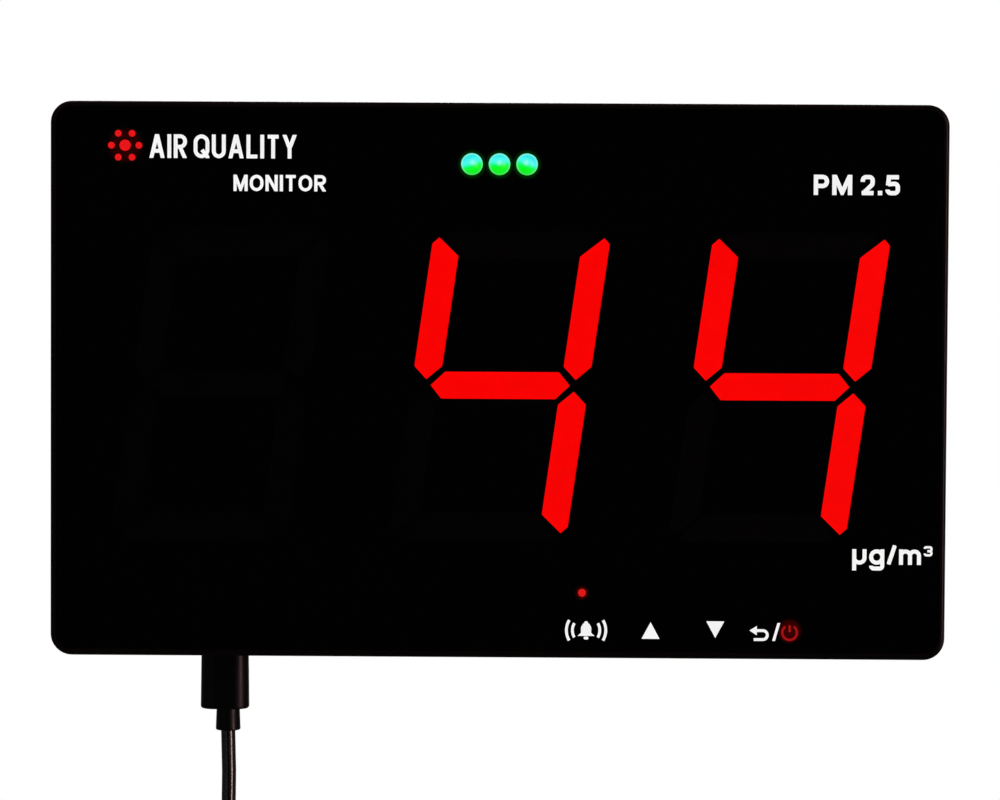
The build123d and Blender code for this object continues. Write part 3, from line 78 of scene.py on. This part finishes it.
# Power lead: plug, coil and strap
CORD_D = 3.4 * MM
PLUG_X = -64.0 * MM
CORD_Y = -8.6 * MM
CORD_TOP = PANEL_Z - 83.8 * MM
COIL_PITCH = 3.45 * MM
COIL_LAYERS = 4
COIL_TURNS = 2 * COIL_LAYERS
COIL_OUTER_R = 22.775 * MM
COIL_X = PLUG_X + 5.5 * MM
COIL_Z = CORD_TOP - 96.4 * MM
COIL_LEFT = COIL_X - COIL_OUTER_R
TAIL_Y = CORD_Y + COIL_PITCH
TURN_POINTS = 16
STEP_SHARE = 0.15                       # share of a turn over which the cord moves to the next place

STRAP_HALF = math.radians(8.3)          # half of the strap's width, as an angle round the coil
STRAP_THICK = 0.70 * MM
STRAP_CORNER = 1.3 * MM
STRAP_BEVEL = 0.12 * MM
FLAP_LOW = 0.74 * MM                    # the lapped end lies on the strap, from here
FLAP_HIGH = 1.08 * MM                   # to here
COIL_MID_R = COIL_OUTER_R - (COIL_LAYERS - 1) / 2 * COIL_PITCH + 0.2 * MM
COIL_MID_Y = CORD_Y + COIL_PITCH / 2

UPPER_ROUTE = [(PLUG_X, CORD_TOP), (PLUG_X + 1.2 * MM, CORD_TOP - 31.4 * MM),
               (PLUG_X - 8.2 * MM, CORD_TOP - 61.9 * MM), (COIL_LEFT, CORD_TOP - 79.9 * MM)]
TAIL_ROUTE = [(COIL_LEFT, COIL_Z - 10.0 * MM), (COIL_LEFT + 1.9 * MM, COIL_Z - 21.0 * MM),
              (COIL_LEFT + 1.9 * MM, COIL_Z - 31.0 * MM)]

WHITE = (1.0, 1.0, 1.0)


# ---------------------------------------------------------------- camera, lights, surroundings
def make_camera():
    """A long lens a little above the panel's middle, nearly square on."""
    data = bpy.data.cameras.new("camera")
    data.lens = 116.33
    data.sensor_width = 36.0
    data.clip_start = 0.05
    data.clip_end = 20.0
    camera = bpy.data.objects.new("camera", data)
    camera.location = (6.63 * MM, -774.0 * MM, -8.60 * MM)
    camera.rotation_euler = [math.radians(a) for a in (87.8775, -0.3130, 0.4861)]
    bpy.context.collection.objects.link(camera)
    bpy.context.scene.camera = camera


def make_world():
    """Plain white to the camera; to everything else a dim room, dark straight in front of the face."""
    world = bpy.data.worlds.new("room")
    bpy.context.scene.world = world
    world.use_nodes = True
    tree = world.node_tree
    tree.nodes.clear()
    out = tree.nodes.new("ShaderNodeOutputWorld")
    mix = tree.nodes.new("ShaderNodeMixShader")
    paths = tree.nodes.new("ShaderNodeLightPath")
    seen = tree.nodes.new("ShaderNodeBackground")
    seen.inputs["Color"].default_value = (1, 1, 1, 1)
    seen.inputs["Strength"].default_value = 1.0
    room = tree.nodes.new("ShaderNodeBackground")
    room.inputs["Color"].default_value = (1.0, 0.97, 0.96, 1)
    coords = tree.nodes.new("ShaderNodeTexCoord")
    split = tree.nodes.new("ShaderNodeSeparateXYZ")
    fade = tree.nodes.new("ShaderNodeMapRange")
    fade.interpolation_type = "SMOOTHSTEP"
    fade.inputs["From Min"].default_value = -0.95
    fade.inputs["From Max"].default_value = -0.60
    fade.inputs["To Min"].default_value = 0.01
    fade.inputs["To Max"].default_value = 0.09
    tree.links.new(coords.outputs["Generated"], split.inputs[0])
    tree.links.new(split.outputs["Y"], fade.inputs["Value"])
    tree.links.new(fade.outputs["Result"], room.inputs["Strength"])
    tree.links.new(paths.outputs["Is Camera Ray"], mix.inputs["Fac"])
    tree.links.new(room.outputs[0], mix.inputs[1])
    tree.links.new(seen.outputs[0], mix.inputs[2])
    tree.links.new(mix.outputs[0], out.inputs["Surface"])


def area_light(name, place, target, size, power, mirrored=True, colour=WHITE):
    """A soft rectangular light aimed at a point; mirrored says whether gloss shows it.
    A coloured one only draws its reflection, so that it leaves no colour on the floor."""
    data = bpy.data.lights.new(name, "AREA")
    data.shape = "RECTANGLE"
    data.size, data.size_y = size
    data.energy = power
    data.color = colour
    lamp = bpy.data.objects.new(name, data)
    lamp.location = place
    lamp.rotation_euler = (Vector(target) - Vector(place)).to_track_quat("-Z", "Y").to_euler()
    lamp.visible_camera = False
    lamp.visible_glossy = mirrored
    lamp.visible_diffuse = colour == WHITE
    bpy.context.collection.objects.link(lamp)


def make_lights():
    """Broad light from above and behind, and tall strips that draw thin lines along the round edges."""
    middle = (0, 0, -0.08)
    area_light("top", (0.0, -0.15, 0.80), middle, (0.8, 0.6), 15.0, mirrored=False)
    area_light("key", (-0.60, -0.50, 0.35), middle, (0.5, 0.5), 3.0, mirrored=False)
    area_light("back", (0.0, 0.95, 0.10), middle, (0.6, 0.6), 7.0)
    area_light("side_strip", (0.74, -0.54, -0.05), middle, (0.10, 0.80), 8.0, colour=(1.0, 0.62, 0.60))
    area_light("left_strip", (-0.40, -0.76, -0.05), middle, (0.06, 0.50), 0.08)
    area_light("right_strip", (0.32, -0.80, -0.05), middle, (0.06, 0.50), 0.08)
    area_light("low_panel", (-0.60, -0.60, -0.40), middle, (0.6, 0.5), 0.08)


def mesh_object(name, shape, material):
    """An object made of a finished bmesh, in one material."""
    mesh = bpy.data.meshes.new(name)
    shape.to_mesh(mesh)
    shape.free()
    mesh.materials.append(material)
    made = bpy.data.objects.new(name, mesh)
    bpy.context.collection.objects.link(made)
    return made


def make_floor():
    """A plain pale round floor under the hanging lead."""
    shape = bmesh.new()
    bmesh.ops.create_circle(shape, cap_ends=True, radius=0.45, segments=128)
    pale = plastic("floor_pale", (0.88, 0.88, 0.88), 0.8, bump=0.01, grain=400, tint=0.01)
    floor = mesh_object("floor", shape, pale)
    floor.location = (0, -0.02, CAD_BOX[0][2] - 12 * MM)
    floor.visible_glossy = False


# ---------------------------------------------------------------- material helpers
def blank(name):
    """A new material with its node tree, Principled shader and object coordinates."""
    material = bpy.data.materials.new(name)
    material.use_nodes = True
    tree = material.node_tree
    shader = tree.nodes["Principled BSDF"]
    coords = tree.nodes.new("ShaderNodeTexCoord")
    return material, tree, shader, coords.outputs["Object"]


def noise(tree, where, scale, detail=4.0, rough=0.55):
    """A noise value at a place."""
    node = tree.nodes.new("ShaderNodeTexNoise")
    node.inputs["Scale"].default_value = scale
    node.inputs["Detail"].default_value = detail
    node.inputs["Roughness"].default_value = rough
    tree.links.new(where, node.inputs["Vector"])
    return node.outputs["Fac"]


def math_node(tree, kind, a, b=0.0):
    """A maths node on two values or sockets."""
    node = tree.nodes.new("ShaderNodeMath")
    node.operation = kind
    for socket, value in zip(node.inputs, (a, b)):
        if isinstance(value, (int, float)):
            socket.default_value = value
        else:
            tree.links.new(value, socket)
    return node.outputs[0]


def distance(tree, right, up):
    """Length of a flat step, from its two sides."""
    squares = [math_node(tree, "MULTIPLY", side, side) for side in (right, up)]
    return math_node(tree, "SQRT", math_node(tree, "ADD", *squares))


def blend(tree, share, first, second):
    """A colour between two colours or sockets."""
    node = tree.nodes.new("ShaderNodeMix")
    node.data_type = "RGBA"
    tree.links.new(share, node.inputs["Factor"])
    for name, colour in (("A", first), ("B", second)):
        if isinstance(colour, tuple):
            node.inputs[name].default_value = (*colour, 1)
        else:
            tree.links.new(colour, node.inputs[name])
    return node.outputs["Result"]


def sides(tree, where):
    """The X, Y and Z of a place."""
    node = tree.nodes.new("ShaderNodeSeparateXYZ")
    tree.links.new(where, node.inputs[0])
    return node.outputs


def spread(tree, value, low, high, start=0.3, end=0.7):
    """Maps a value from start..end to low..high."""
    node = tree.nodes.new("ShaderNodeMapRange")
    node.inputs["From Min"].default_value = start
    node.inputs["From Max"].default_value = end
    node.inputs["To Min"].default_value = low
    node.inputs["To Max"].default_value = high
    tree.links.new(value, node.inputs["Value"])
    return node.outputs["Result"]


def shades(tree, value, dark, light, start=0.3, end=0.7):
    """Maps a value to a colour between two shades."""
    node = tree.nodes.new("ShaderNodeValToRGB")
    node.color_ramp.elements[0].position = start
    node.color_ramp.elements[0].color = (*dark, 1)
    node.color_ramp.elements[1].position = end
    node.color_ramp.elements[1].color = (*light, 1)
    tree.links.new(value, node.inputs["Fac"])
    return node.outputs["Color"]


def raise_bumps(tree, shader, height, strength, distance=0.0002):
    """Bump on the shader's normal."""
    node = tree.nodes.new("ShaderNodeBump")
    node.inputs["Strength"].default_value = strength
    node.inputs["Distance"].default_value = distance
    tree.links.new(height, node.inputs["Height"])
    tree.links.new(node.outputs["Normal"], shader.inputs["Normal"])


def plastic(name, colour, rough, bump=0.1, grain=2500, metallic=0.0, tint=0.25, specular=0.5):
    """Moulded plastic or metal with uneven colour and gloss and a fine surface grain."""
    material, tree, shader, where = blank(name)
    cloud = noise(tree, where, 45)
    dark = [c * (1 - tint) for c in colour]
    light = [min(1, c * (1 + tint)) for c in colour]
    tree.links.new(shades(tree, cloud, dark, light), shader.inputs["Base Color"])
    smears = noise(tree, where, 160, 6.0, 0.6)
    tree.links.new(spread(tree, smears, rough * 0.8, min(1, rough * 1.25)), shader.inputs["Roughness"])
    shader.inputs["Metallic"].default_value = metallic
    shader.inputs["Specular IOR Level"].default_value = specular
    raise_bumps(tree, shader, noise(tree, where, grain, 3.0), bump, 0.00005)
    return material


def glowing(name, colour, strength, rough=0.3, spread_low=0.96):
    """Its own light with a faint unevenness: a lit diffuser with the lamps behind it, and painted light where
    a print glows with no lamp behind it.
    """
    material, tree, shader, where = blank(name)
    shader.inputs["Base Color"].default_value = (*[c * 0.02 for c in colour], 1)
    shader.inputs["Specular IOR Level"].default_value = 0.15
    shader.inputs["Roughness"].default_value = rough
    shader.inputs["Emission Color"].default_value = (*colour, 1)
    glow = noise(tree, where, 120, 2.0)
    tree.links.new(spread(tree, glow, strength * spread_low, strength), shader.inputs["Emission Strength"])
    raise_bumps(tree, shader, noise(tree, where, 3000, 2.0), 0.05, 0.00003)
    return material


def pane_acrylic():
    """Polished acrylic: clear straight through, with a mirror gloss on its outside and faint wipe marks."""
    material, tree, shader, where = blank("pane_acrylic")
    tree.nodes.remove(shader)
    out = tree.nodes["Material Output"]
    clear = tree.nodes.new("ShaderNodeBsdfTransparent")
    clear.inputs["Color"].default_value = (0.97, 0.97, 0.97, 1)
    gloss = tree.nodes.new("ShaderNodeBsdfGlossy")
    gloss.inputs["Color"].default_value = (1, 1, 1, 1)
    smears = noise(tree, where, 90, 5.0, 0.65)
    tree.links.new(spread(tree, smears, 0.02, 0.075, 0.45, 0.75), gloss.inputs["Roughness"])
    fresnel = tree.nodes.new("ShaderNodeFresnel")
    fresnel.inputs["IOR"].default_value = 1.49
    surface = tree.nodes.new("ShaderNodeNewGeometry")
    outside = math_node(tree, "SUBTRACT", 1.0, surface.outputs["Backfacing"])
    mix = tree.nodes.new("ShaderNodeMixShader")
    tree.links.new(math_node(tree, "MULTIPLY", fresnel.outputs[0], outside), mix.inputs["Fac"])
    tree.links.new(clear.outputs[0], mix.inputs[1])
    tree.links.new(gloss.outputs[0], mix.inputs[2])
    tree.links.new(mix.outputs[0], out.inputs["Surface"])
    return material


def lamp_place(tree, where):
    """Which lamp is nearest (-1, 0 or 1), and how far right, up and away of its middle, in lamp radii."""
    place = sides(tree, where)
    number = math_node(tree, "ROUND", math_node(tree, "DIVIDE", place["X"], LAMP_PITCH))
    number = math_node(tree, "MAXIMUM", math_node(tree, "MINIMUM", number, 1.0), -1.0)
    middle = math_node(tree, "MULTIPLY", number, LAMP_PITCH)
    right = math_node(tree, "DIVIDE", math_node(tree, "SUBTRACT", place["X"], middle), LAMP_R)
    up = math_node(tree, "DIVIDE", math_node(tree, "SUBTRACT", place["Z"], LAMP_Z), LAMP_R)
    return number, right, up, distance(tree, right, up)


def lamp_height(tree, where, number, right, up):
    """Height in the lamp's picture from 0 to 1: a wavy line that tilts and rises in the outer lamps."""
    wave = math_node(tree, "MULTIPLY", math_node(tree, "SUBTRACT", noise(tree, where, 420, 2.0), 0.5), 0.5)
    rise = math_node(tree, "MULTIPLY", math_node(tree, "ABSOLUTE", number), 0.10)
    tilt = math_node(tree, "MULTIPLY", math_node(tree, "MULTIPLY", number, right), 0.30)
    height = math_node(tree, "ADD", math_node(tree, "ADD", up, wave), math_node(tree, "ADD", rise, tilt))
    return math_node(tree, "MULTIPLY", math_node(tree, "ADD", height, 1.0), 0.5)


def lamp_colours(tree, height):
    """Pure green below and cyan above."""
    ramp = tree.nodes.new("ShaderNodeValToRGB")
    stops = [(0.10, (0.003, 0.88, 0.015)), (0.28, (0.001, 0.96, 0.010)), (0.42, (0.002, 0.95, 0.05)),
             (0.52, (0.012, 0.96, 0.34)), (0.60, (0.05, 0.96, 0.70)), (0.74, (0.07, 0.93, 0.90)),
             (0.90, (0.03, 0.80, 0.76))]
    elements = ramp.color_ramp.elements
    while len(elements) < len(stops):
        elements.new(0.5)
    for element, (position, colour) in zip(elements, stops):
        element.position = position
        element.color = (*colour, 1)
    tree.links.new(height, ramp.inputs["Fac"])
    return ramp.outputs["Color"]


def lamp_epoxy():
    """Lit green lamps: cyan above, pure green below, a painted thin pale rim of glow at the edge and a
    painted soft highlight on the dome a little above the middle.
    """
    material, tree, shader, where = blank("lamp_epoxy")
    number, right, up, away = lamp_place(tree, where)
    height = lamp_height(tree, where, number, right, up)
    # Painted glow: a thin pale rim round each lamp's edge.
    pale = blend(tree, height, (0.07, 0.66, 0.09), (0.36, 0.95, 0.86))
    with_painted_rim = blend(tree, spread(tree, away, 0.0, 0.55, 0.84, 0.95), lamp_colours(tree, height), pale)
    # Painted highlight: a soft bright spot on the dome, a little above the middle, drawn towards the middle
    # lamp on the outer ones.
    from_painted_highlight = distance(tree, math_node(tree, "ADD", right, math_node(tree, "MULTIPLY", number, 0.08)),
                        math_node(tree, "SUBTRACT", up, 0.12))
    lit = blend(tree, spread(tree, from_painted_highlight, 0.42, 0.0, 0.05, 0.36), with_painted_rim, (0.6, 1.0, 1.0))
    tree.links.new(lit, shader.inputs["Emission Color"])
    shader.inputs["Base Color"].default_value = (0.0, 0.01, 0.005, 1)
    shader.inputs["Emission Strength"].default_value = 1.0
    shader.inputs["Roughness"].default_value = 0.4
    shader.inputs["Specular IOR Level"].default_value = 0.2
    return material


def red_ink():
    """Red print: bright over the badge's lamp on the left, dimmer over the power key's on the right."""
    material = glowing("print_red", (0.86, 0.006, 0.008), 1.0, 0.6)
    tree = material.node_tree
    where = tree.nodes.new("ShaderNodeTexCoord").outputs["Object"]
    fade = spread(tree, sides(tree, where)["X"], 1.0, 0.44, -20 * MM, 20 * MM)
    tree.links.new(fade, tree.nodes["Principled BSDF"].inputs["Emission Strength"])
    return material


def red_glow(tree, where, middle, strength, inner, outer):
    """Red light round a point of the panel, fading to nothing between two distances from it."""
    place = sides(tree, where)
    away = distance(tree, math_node(tree, "SUBTRACT", place["X"], middle[0]),
                    math_node(tree, "SUBTRACT", place["Z"], middle[1]))
    return spread(tree, away, strength, 0.0, inner, outer)


def film_ink_and_painted_glow():
    """Deep black printed film, with a painted faint glow round the lamps and the red signs, standing in for
    the light that leaks round them.
    """
    material = plastic("film_ink_and_painted_glow", (0.00035, 0.0001, 0.00015), 0.7, 0.05, 3000, specular=0.0)
    tree = material.node_tree
    shader = tree.nodes["Principled BSDF"]
    where = tree.nodes.new("ShaderNodeTexCoord").outputs["Object"]
    # Painted glow: faint green round the lamps and red round the badge, the power key and the alarm dot, as
    # emission on the film.
    away = lamp_place(tree, where)[3]
    badge = red_glow(tree, where, BADGE_AT, 0.022, 2.4 * MM, 4.4 * MM)
    power = red_glow(tree, where, POWER_AT, 0.040, 1.9 * MM, 3.0 * MM)
    alarm = red_glow(tree, where, ALARM_AT, 0.055, 0.9 * MM, 1.7 * MM)
    colour = tree.nodes.new("ShaderNodeCombineColor")
    tree.links.new(math_node(tree, "ADD", math_node(tree, "ADD", badge, power), alarm), colour.inputs["Red"])
    tree.links.new(spread(tree, away, 0.034, 0.0, 1.0, 1.45), colour.inputs["Green"])
    tree.links.new(colour.outputs["Color"], shader.inputs["Emission Color"])
    shader.inputs["Emission Strength"].default_value = 1.0
    return material


def brushed(name, colour, rough):
    """Drawn or rolled metal with fine lines along Z."""
    material, tree, shader, where = blank(name)
    stretch = tree.nodes.new("ShaderNodeMapping")
    stretch.inputs["Scale"].default_value = (1, 1, 0.05)
    tree.links.new(where, stretch.inputs["Vector"])
    lines = noise(tree, stretch.outputs[0], 6000, 3.0)
    tree.links.new(shades(tree, lines, [c * 0.85 for c in colour], colour), shader.inputs["Base Color"])
    tree.links.new(spread(tree, lines, rough * 0.7, rough * 1.3), shader.inputs["Roughness"])
    shader.inputs["Metallic"].default_value = 1.0
    raise_bumps(tree, shader, lines, 0.12, 0.00002)
    return material


def circuit_board():
    """Green solder mask over faint copper tracks, with bright pads."""
    material, tree, shader, where = blank("circuit_board")
    bricks = tree.nodes.new("ShaderNodeTexBrick")
    bricks.inputs["Scale"].default_value = 260
    bricks.inputs["Mortar Size"].default_value = 0.03
    bricks.inputs["Color1"].default_value = (0.010, 0.075, 0.030, 1)
    bricks.inputs["Color2"].default_value = (0.013, 0.095, 0.038, 1)
    bricks.inputs["Mortar"].default_value = (0.03, 0.17, 0.07, 1)
    turn = tree.nodes.new("ShaderNodeMapping")
    turn.inputs["Rotation"].default_value = (math.pi / 2, 0, 0)
    tree.links.new(where, turn.inputs["Vector"])
    tree.links.new(turn.outputs[0], bricks.inputs["Vector"])
    tree.links.new(bricks.outputs["Color"], shader.inputs["Base Color"])
    shader.inputs["Roughness"].default_value = 0.35
    shader.inputs["Coat Weight"].default_value = 0.4
    raise_bumps(tree, shader, bricks.outputs["Fac"], 0.2, 0.00003)
    return material


def build_materials():
    """One material for each of the record's slots."""
    return {
        "bezel_black": plastic("bezel_abs", (0.0022, 0.0010, 0.0010), 0.24, 0.03, 900, specular=0.05),
        "housing_black": plastic("housing_abs", (0.020, 0.020, 0.022), 0.5, 0.55, 2600),
        "pane_clear": pane_acrylic(),
        "film_black": film_ink_and_painted_glow(),
        "tape_black": plastic("tape_foam", (0.0006, 0.0003, 0.0003), 0.9, 0.4, 1500, specular=0.0),
        "reflector_black": plastic("reflector_abs", (0.01, 0.01, 0.011), 0.5, 0.2, 1800),
        "lens_lit": glowing("lens_lit", (1.0, 0.0, 0.0), 1.05),
        "lens_dark": plastic("lens_dark", (0.0006, 0.0001, 0.0001), 0.6, 0.05, 3000, specular=0.02),
        # The white print gives its own light: painted light standing in for the light that falls on it.
        "print_white": glowing("print_white", WHITE, 1.02, 0.6, 0.93),
        "print_red": red_ink(),
        "lamp_green": lamp_epoxy(),
        "lamp_red": glowing("lamp_red", (0.78, 0.01, 0.01), 1.0),
        "board_green": circuit_board(),
        "chip_black": plastic("chip_epoxy", (0.02, 0.02, 0.02), 0.55, 0.3, 3000),
        "chip_pale": plastic("chip_pale", (0.7, 0.68, 0.5), 0.35, 0.1, 3000, tint=0.08),
        "metal_tin": brushed("tin_plate", (0.62, 0.62, 0.60), 0.32),
        "metal_screw": plastic("screw_zinc", (0.05, 0.05, 0.055), 0.32, 0.15, 2500, metallic=0.9),
        "metal_nickel": brushed("nickel_plate", (0.72, 0.71, 0.67), 0.2),
        "foam_grey": plastic("foam_grey", (0.06, 0.06, 0.062), 0.9, 0.9, 1400),
        "bush_brass": brushed("bush_bronze", (0.55, 0.38, 0.16), 0.35),
        "fan_black": plastic("fan_abs", (0.018, 0.018, 0.019), 0.35, 0.15, 2200),
        "ceramic_pale": plastic("connector_nylon", (0.72, 0.70, 0.60), 0.45, 0.15, 2200, tint=0.06),
        "label_silver": plastic("label_foil", (0.38, 0.385, 0.39), 0.38, 0.25, 3000, metallic=0.6, tint=0.06),
        "mesh_grey": plastic("mesh_nylon", (0.07, 0.07, 0.07), 0.6, 0.2, 3000),
        "wire_jacket": plastic("wire_pvc", (0.05, 0.05, 0.055), 0.45, 0.15, 2200),
        "cord_black": plastic("cord_pvc", (0.002, 0.0016, 0.0017), 0.22, 0.015, 1600, specular=0.6),
        "plug_black": plastic("plug_pvc", (0.0014, 0.0008, 0.0008), 0.36, 0.12, 2200, specular=0.12),
        "tie_black": plastic("tie_nylon", (0.012, 0.012, 0.013), 0.85, 0.9, 1500),
        "tongue_white": plastic("insulator_nylon", (0.7, 0.7, 0.68), 0.4, 0.1, 2200, tint=0.05),
    }


def dress_cad_nodes(materials):
    """Gives every CAD node the material of its slot."""
    slots = {part["node"]: part["material_slot"] for part in frame["record"]["subparts"]}
    for node, obj in frame["nodes"].items():
        obj.data.materials.clear()
        obj.data.materials.append(materials[slots[node]])


# ---------------------------------------------------------------- dust mesh
def add_block(shape, place, size):
    """Adds a box to a bmesh."""
    corners = bmesh.ops.create_cube(shape, size=1.0)["verts"]
    bmesh.ops.scale(shape, vec=size, verts=corners)
    bmesh.ops.translate(shape, vec=place, verts=corners)


def places_across(width):
    """Middles of the threads that share a width, from its middle."""
    count = int(width / THREAD_PITCH)
    return [(number - count / 2) * THREAD_PITCH for number in range(count + 1)]


def make_dust_mesh(materials):
    """Crossed nylon threads behind the air slots of the back."""
    width, height = MESH_SIZE
    shape = bmesh.new()
    for x in places_across(width):
        add_block(shape, (x, UPRIGHT_Y, MESH_Z), (THREAD_D, THREAD_D, height))
    for z in places_across(height):
        add_block(shape, (0, LEVEL_Y, MESH_Z + z), (width, THREAD_D, THREAD_D))
    threads = mesh_object("dust_threads", shape, materials["mesh_grey"])
    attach(threads, "case")
    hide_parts("dust_mesh")


# ---------------------------------------------------------------- power lead
def coil_place(progress):
    """Radius and y of the winding after this many turns: in by the front layer, out by the back one."""
    radius, y = COIL_OUTER_R, CORD_Y
    for step in range(1, COIL_TURNS):
        start = step - STEP_SHARE if step <= COIL_LAYERS else step
        share = min(1.0, max(0.0, (progress - start) / STEP_SHARE))
        share = share * share * (3 - 2 * share)
        if step < COIL_LAYERS:
            radius -= share * COIL_PITCH
        elif step == COIL_LAYERS:
            y += share * COIL_PITCH
        else:
            radius += share * COIL_PITCH
    return radius, y


def cord_points():
    """Control points of the whole lead, from the plug's collar to the USB-A collar."""
    points = [(x, CORD_Y, z) for x, z in UPPER_ROUTE]
    outward = 1 / math.cos(math.pi / TURN_POINTS)
    for count in range(COIL_TURNS * TURN_POINTS + 1):
        progress = count / TURN_POINTS
        radius, y = coil_place(progress)
        angle = math.pi + 2 * math.pi * progress
        x = COIL_X + radius * outward * math.cos(angle)
        points.append((x, y, COIL_Z + radius * outward * math.sin(angle)))
    points += [(x, TAIL_Y, z) for x, z in TAIL_ROUTE]
    return points


def loop_profile(width, thick, corner, corner_steps=6):
    """Points and outward directions round a rounded rectangle, starting at its inner end."""
    points = []
    for quarter, (side, face) in enumerate(((1, 1), (-1, 1), (-1, -1), (1, -1))):
        for step in range(corner_steps + 1):
            angle = math.pi / 2 * (quarter + step / corner_steps)
            out = (math.cos(angle), math.sin(angle))
            x = side * (width / 2 - corner) + corner * out[0]
            depth = face * (thick / 2 - corner) + corner * out[1]
            points.append((x, depth, out))
    return points


def strap_rows(shape, profile, low, high, across):
    """Points of one strap layer: one row across for each place on the profile, low and high by turns."""
    rows = []
    for x, depth, out in profile:
        row = []
        for count in range(across + 1):
            share = 2 * count / across - 1
            edge = STRAP_BEVEL if abs(share) == 1 else 0
            angle = math.pi + share * STRAP_HALF
            for lift in (low, high - edge):
                radius = COIL_MID_R - (x + out[0] * lift)
                y = COIL_MID_Y - (depth + out[1] * lift)
                place = (COIL_X + radius * math.cos(angle), y, COIL_Z - radius * math.sin(angle))
                row.append(shape.verts.new(place))
        rows.append(row)
    return rows


def strap_layer(shape, profile, low, high, closed, across=8):
    """One layer of the strap, from low to high above the profile, bent round the coil's axis."""
    rows = strap_rows(shape, profile, low, high, across)
    pairs = list(zip(rows, rows[1:])) + ([(rows[-1], rows[0])] if closed else [])
    for row, after in pairs:
        for inner in range(0, 2 * across, 2):
            outer = inner + 1
            shape.faces.new((row[inner], row[inner + 2], after[inner + 2], after[inner]))
            shape.faces.new((row[outer], after[outer], after[outer + 2], row[outer + 2]))
        for inner in (0, 2 * across):
            shape.faces.new((row[inner], after[inner], after[inner + 1], row[inner + 1]))
    if not closed:
        for row in (rows[0], rows[-1]):
            for inner in range(0, 2 * across, 2):
                shape.faces.new((row[inner], row[inner + 1], row[inner + 3], row[inner + 2]))


def make_strap(materials):
    """Hook-and-loop strap round the coil: a closed band with its free end lapped over the front."""
    width = COIL_LAYERS * COIL_PITCH + 1.0 * MM
    thick = 2 * COIL_PITCH + 0.4 * MM
    profile = loop_profile(width, thick, STRAP_CORNER)
    lapped = profile[1:20]
    shape = bmesh.new()
    strap_layer(shape, profile, 0.0, STRAP_THICK, True)
    strap_layer(shape, lapped, FLAP_LOW, FLAP_HIGH, False)
    bmesh.ops.recalc_face_normals(shape, faces=shape.faces)
    strap = mesh_object("cord_strap", shape, materials["tie_black"])
    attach(strap, "power_lead")
    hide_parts("cord_tie")
    return strap


def make_cord(materials, strap):
    """The round black lead as one smooth spline."""
    curve = bpy.data.curves.new("power_lead_cord", "CURVE")
    curve.dimensions = "3D"
    curve.bevel_depth = CORD_D / 2
    curve.bevel_resolution = 5
    curve.resolution_u = 6
    curve.use_fill_caps = True
    points = cord_points()
    spline = curve.splines.new("NURBS")
    spline.points.add(len(points) - 1)
    for point, place in zip(spline.points, points):
        point.co = (*place, 1)
    spline.order_u = 3
    spline.use_endpoint_u = True
    cord = bpy.data.objects.new("power_lead_cord", curve)
    bpy.context.collection.objects.link(cord)
    curve.materials.append(materials["cord_black"])
    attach(cord, "power_lead")
    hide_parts("power_cord", "cord_coil", "cord_tail")


# ---------------------------------------------------------------- the scene
bpy.context.scene.view_settings.view_transform = "Standard"
make_camera()
make_world()
make_floor()
make_lights()

materials = build_materials()
dress_cad_nodes(materials)
make_cord(materials, make_strap(materials))
make_dust_mesh(materials)
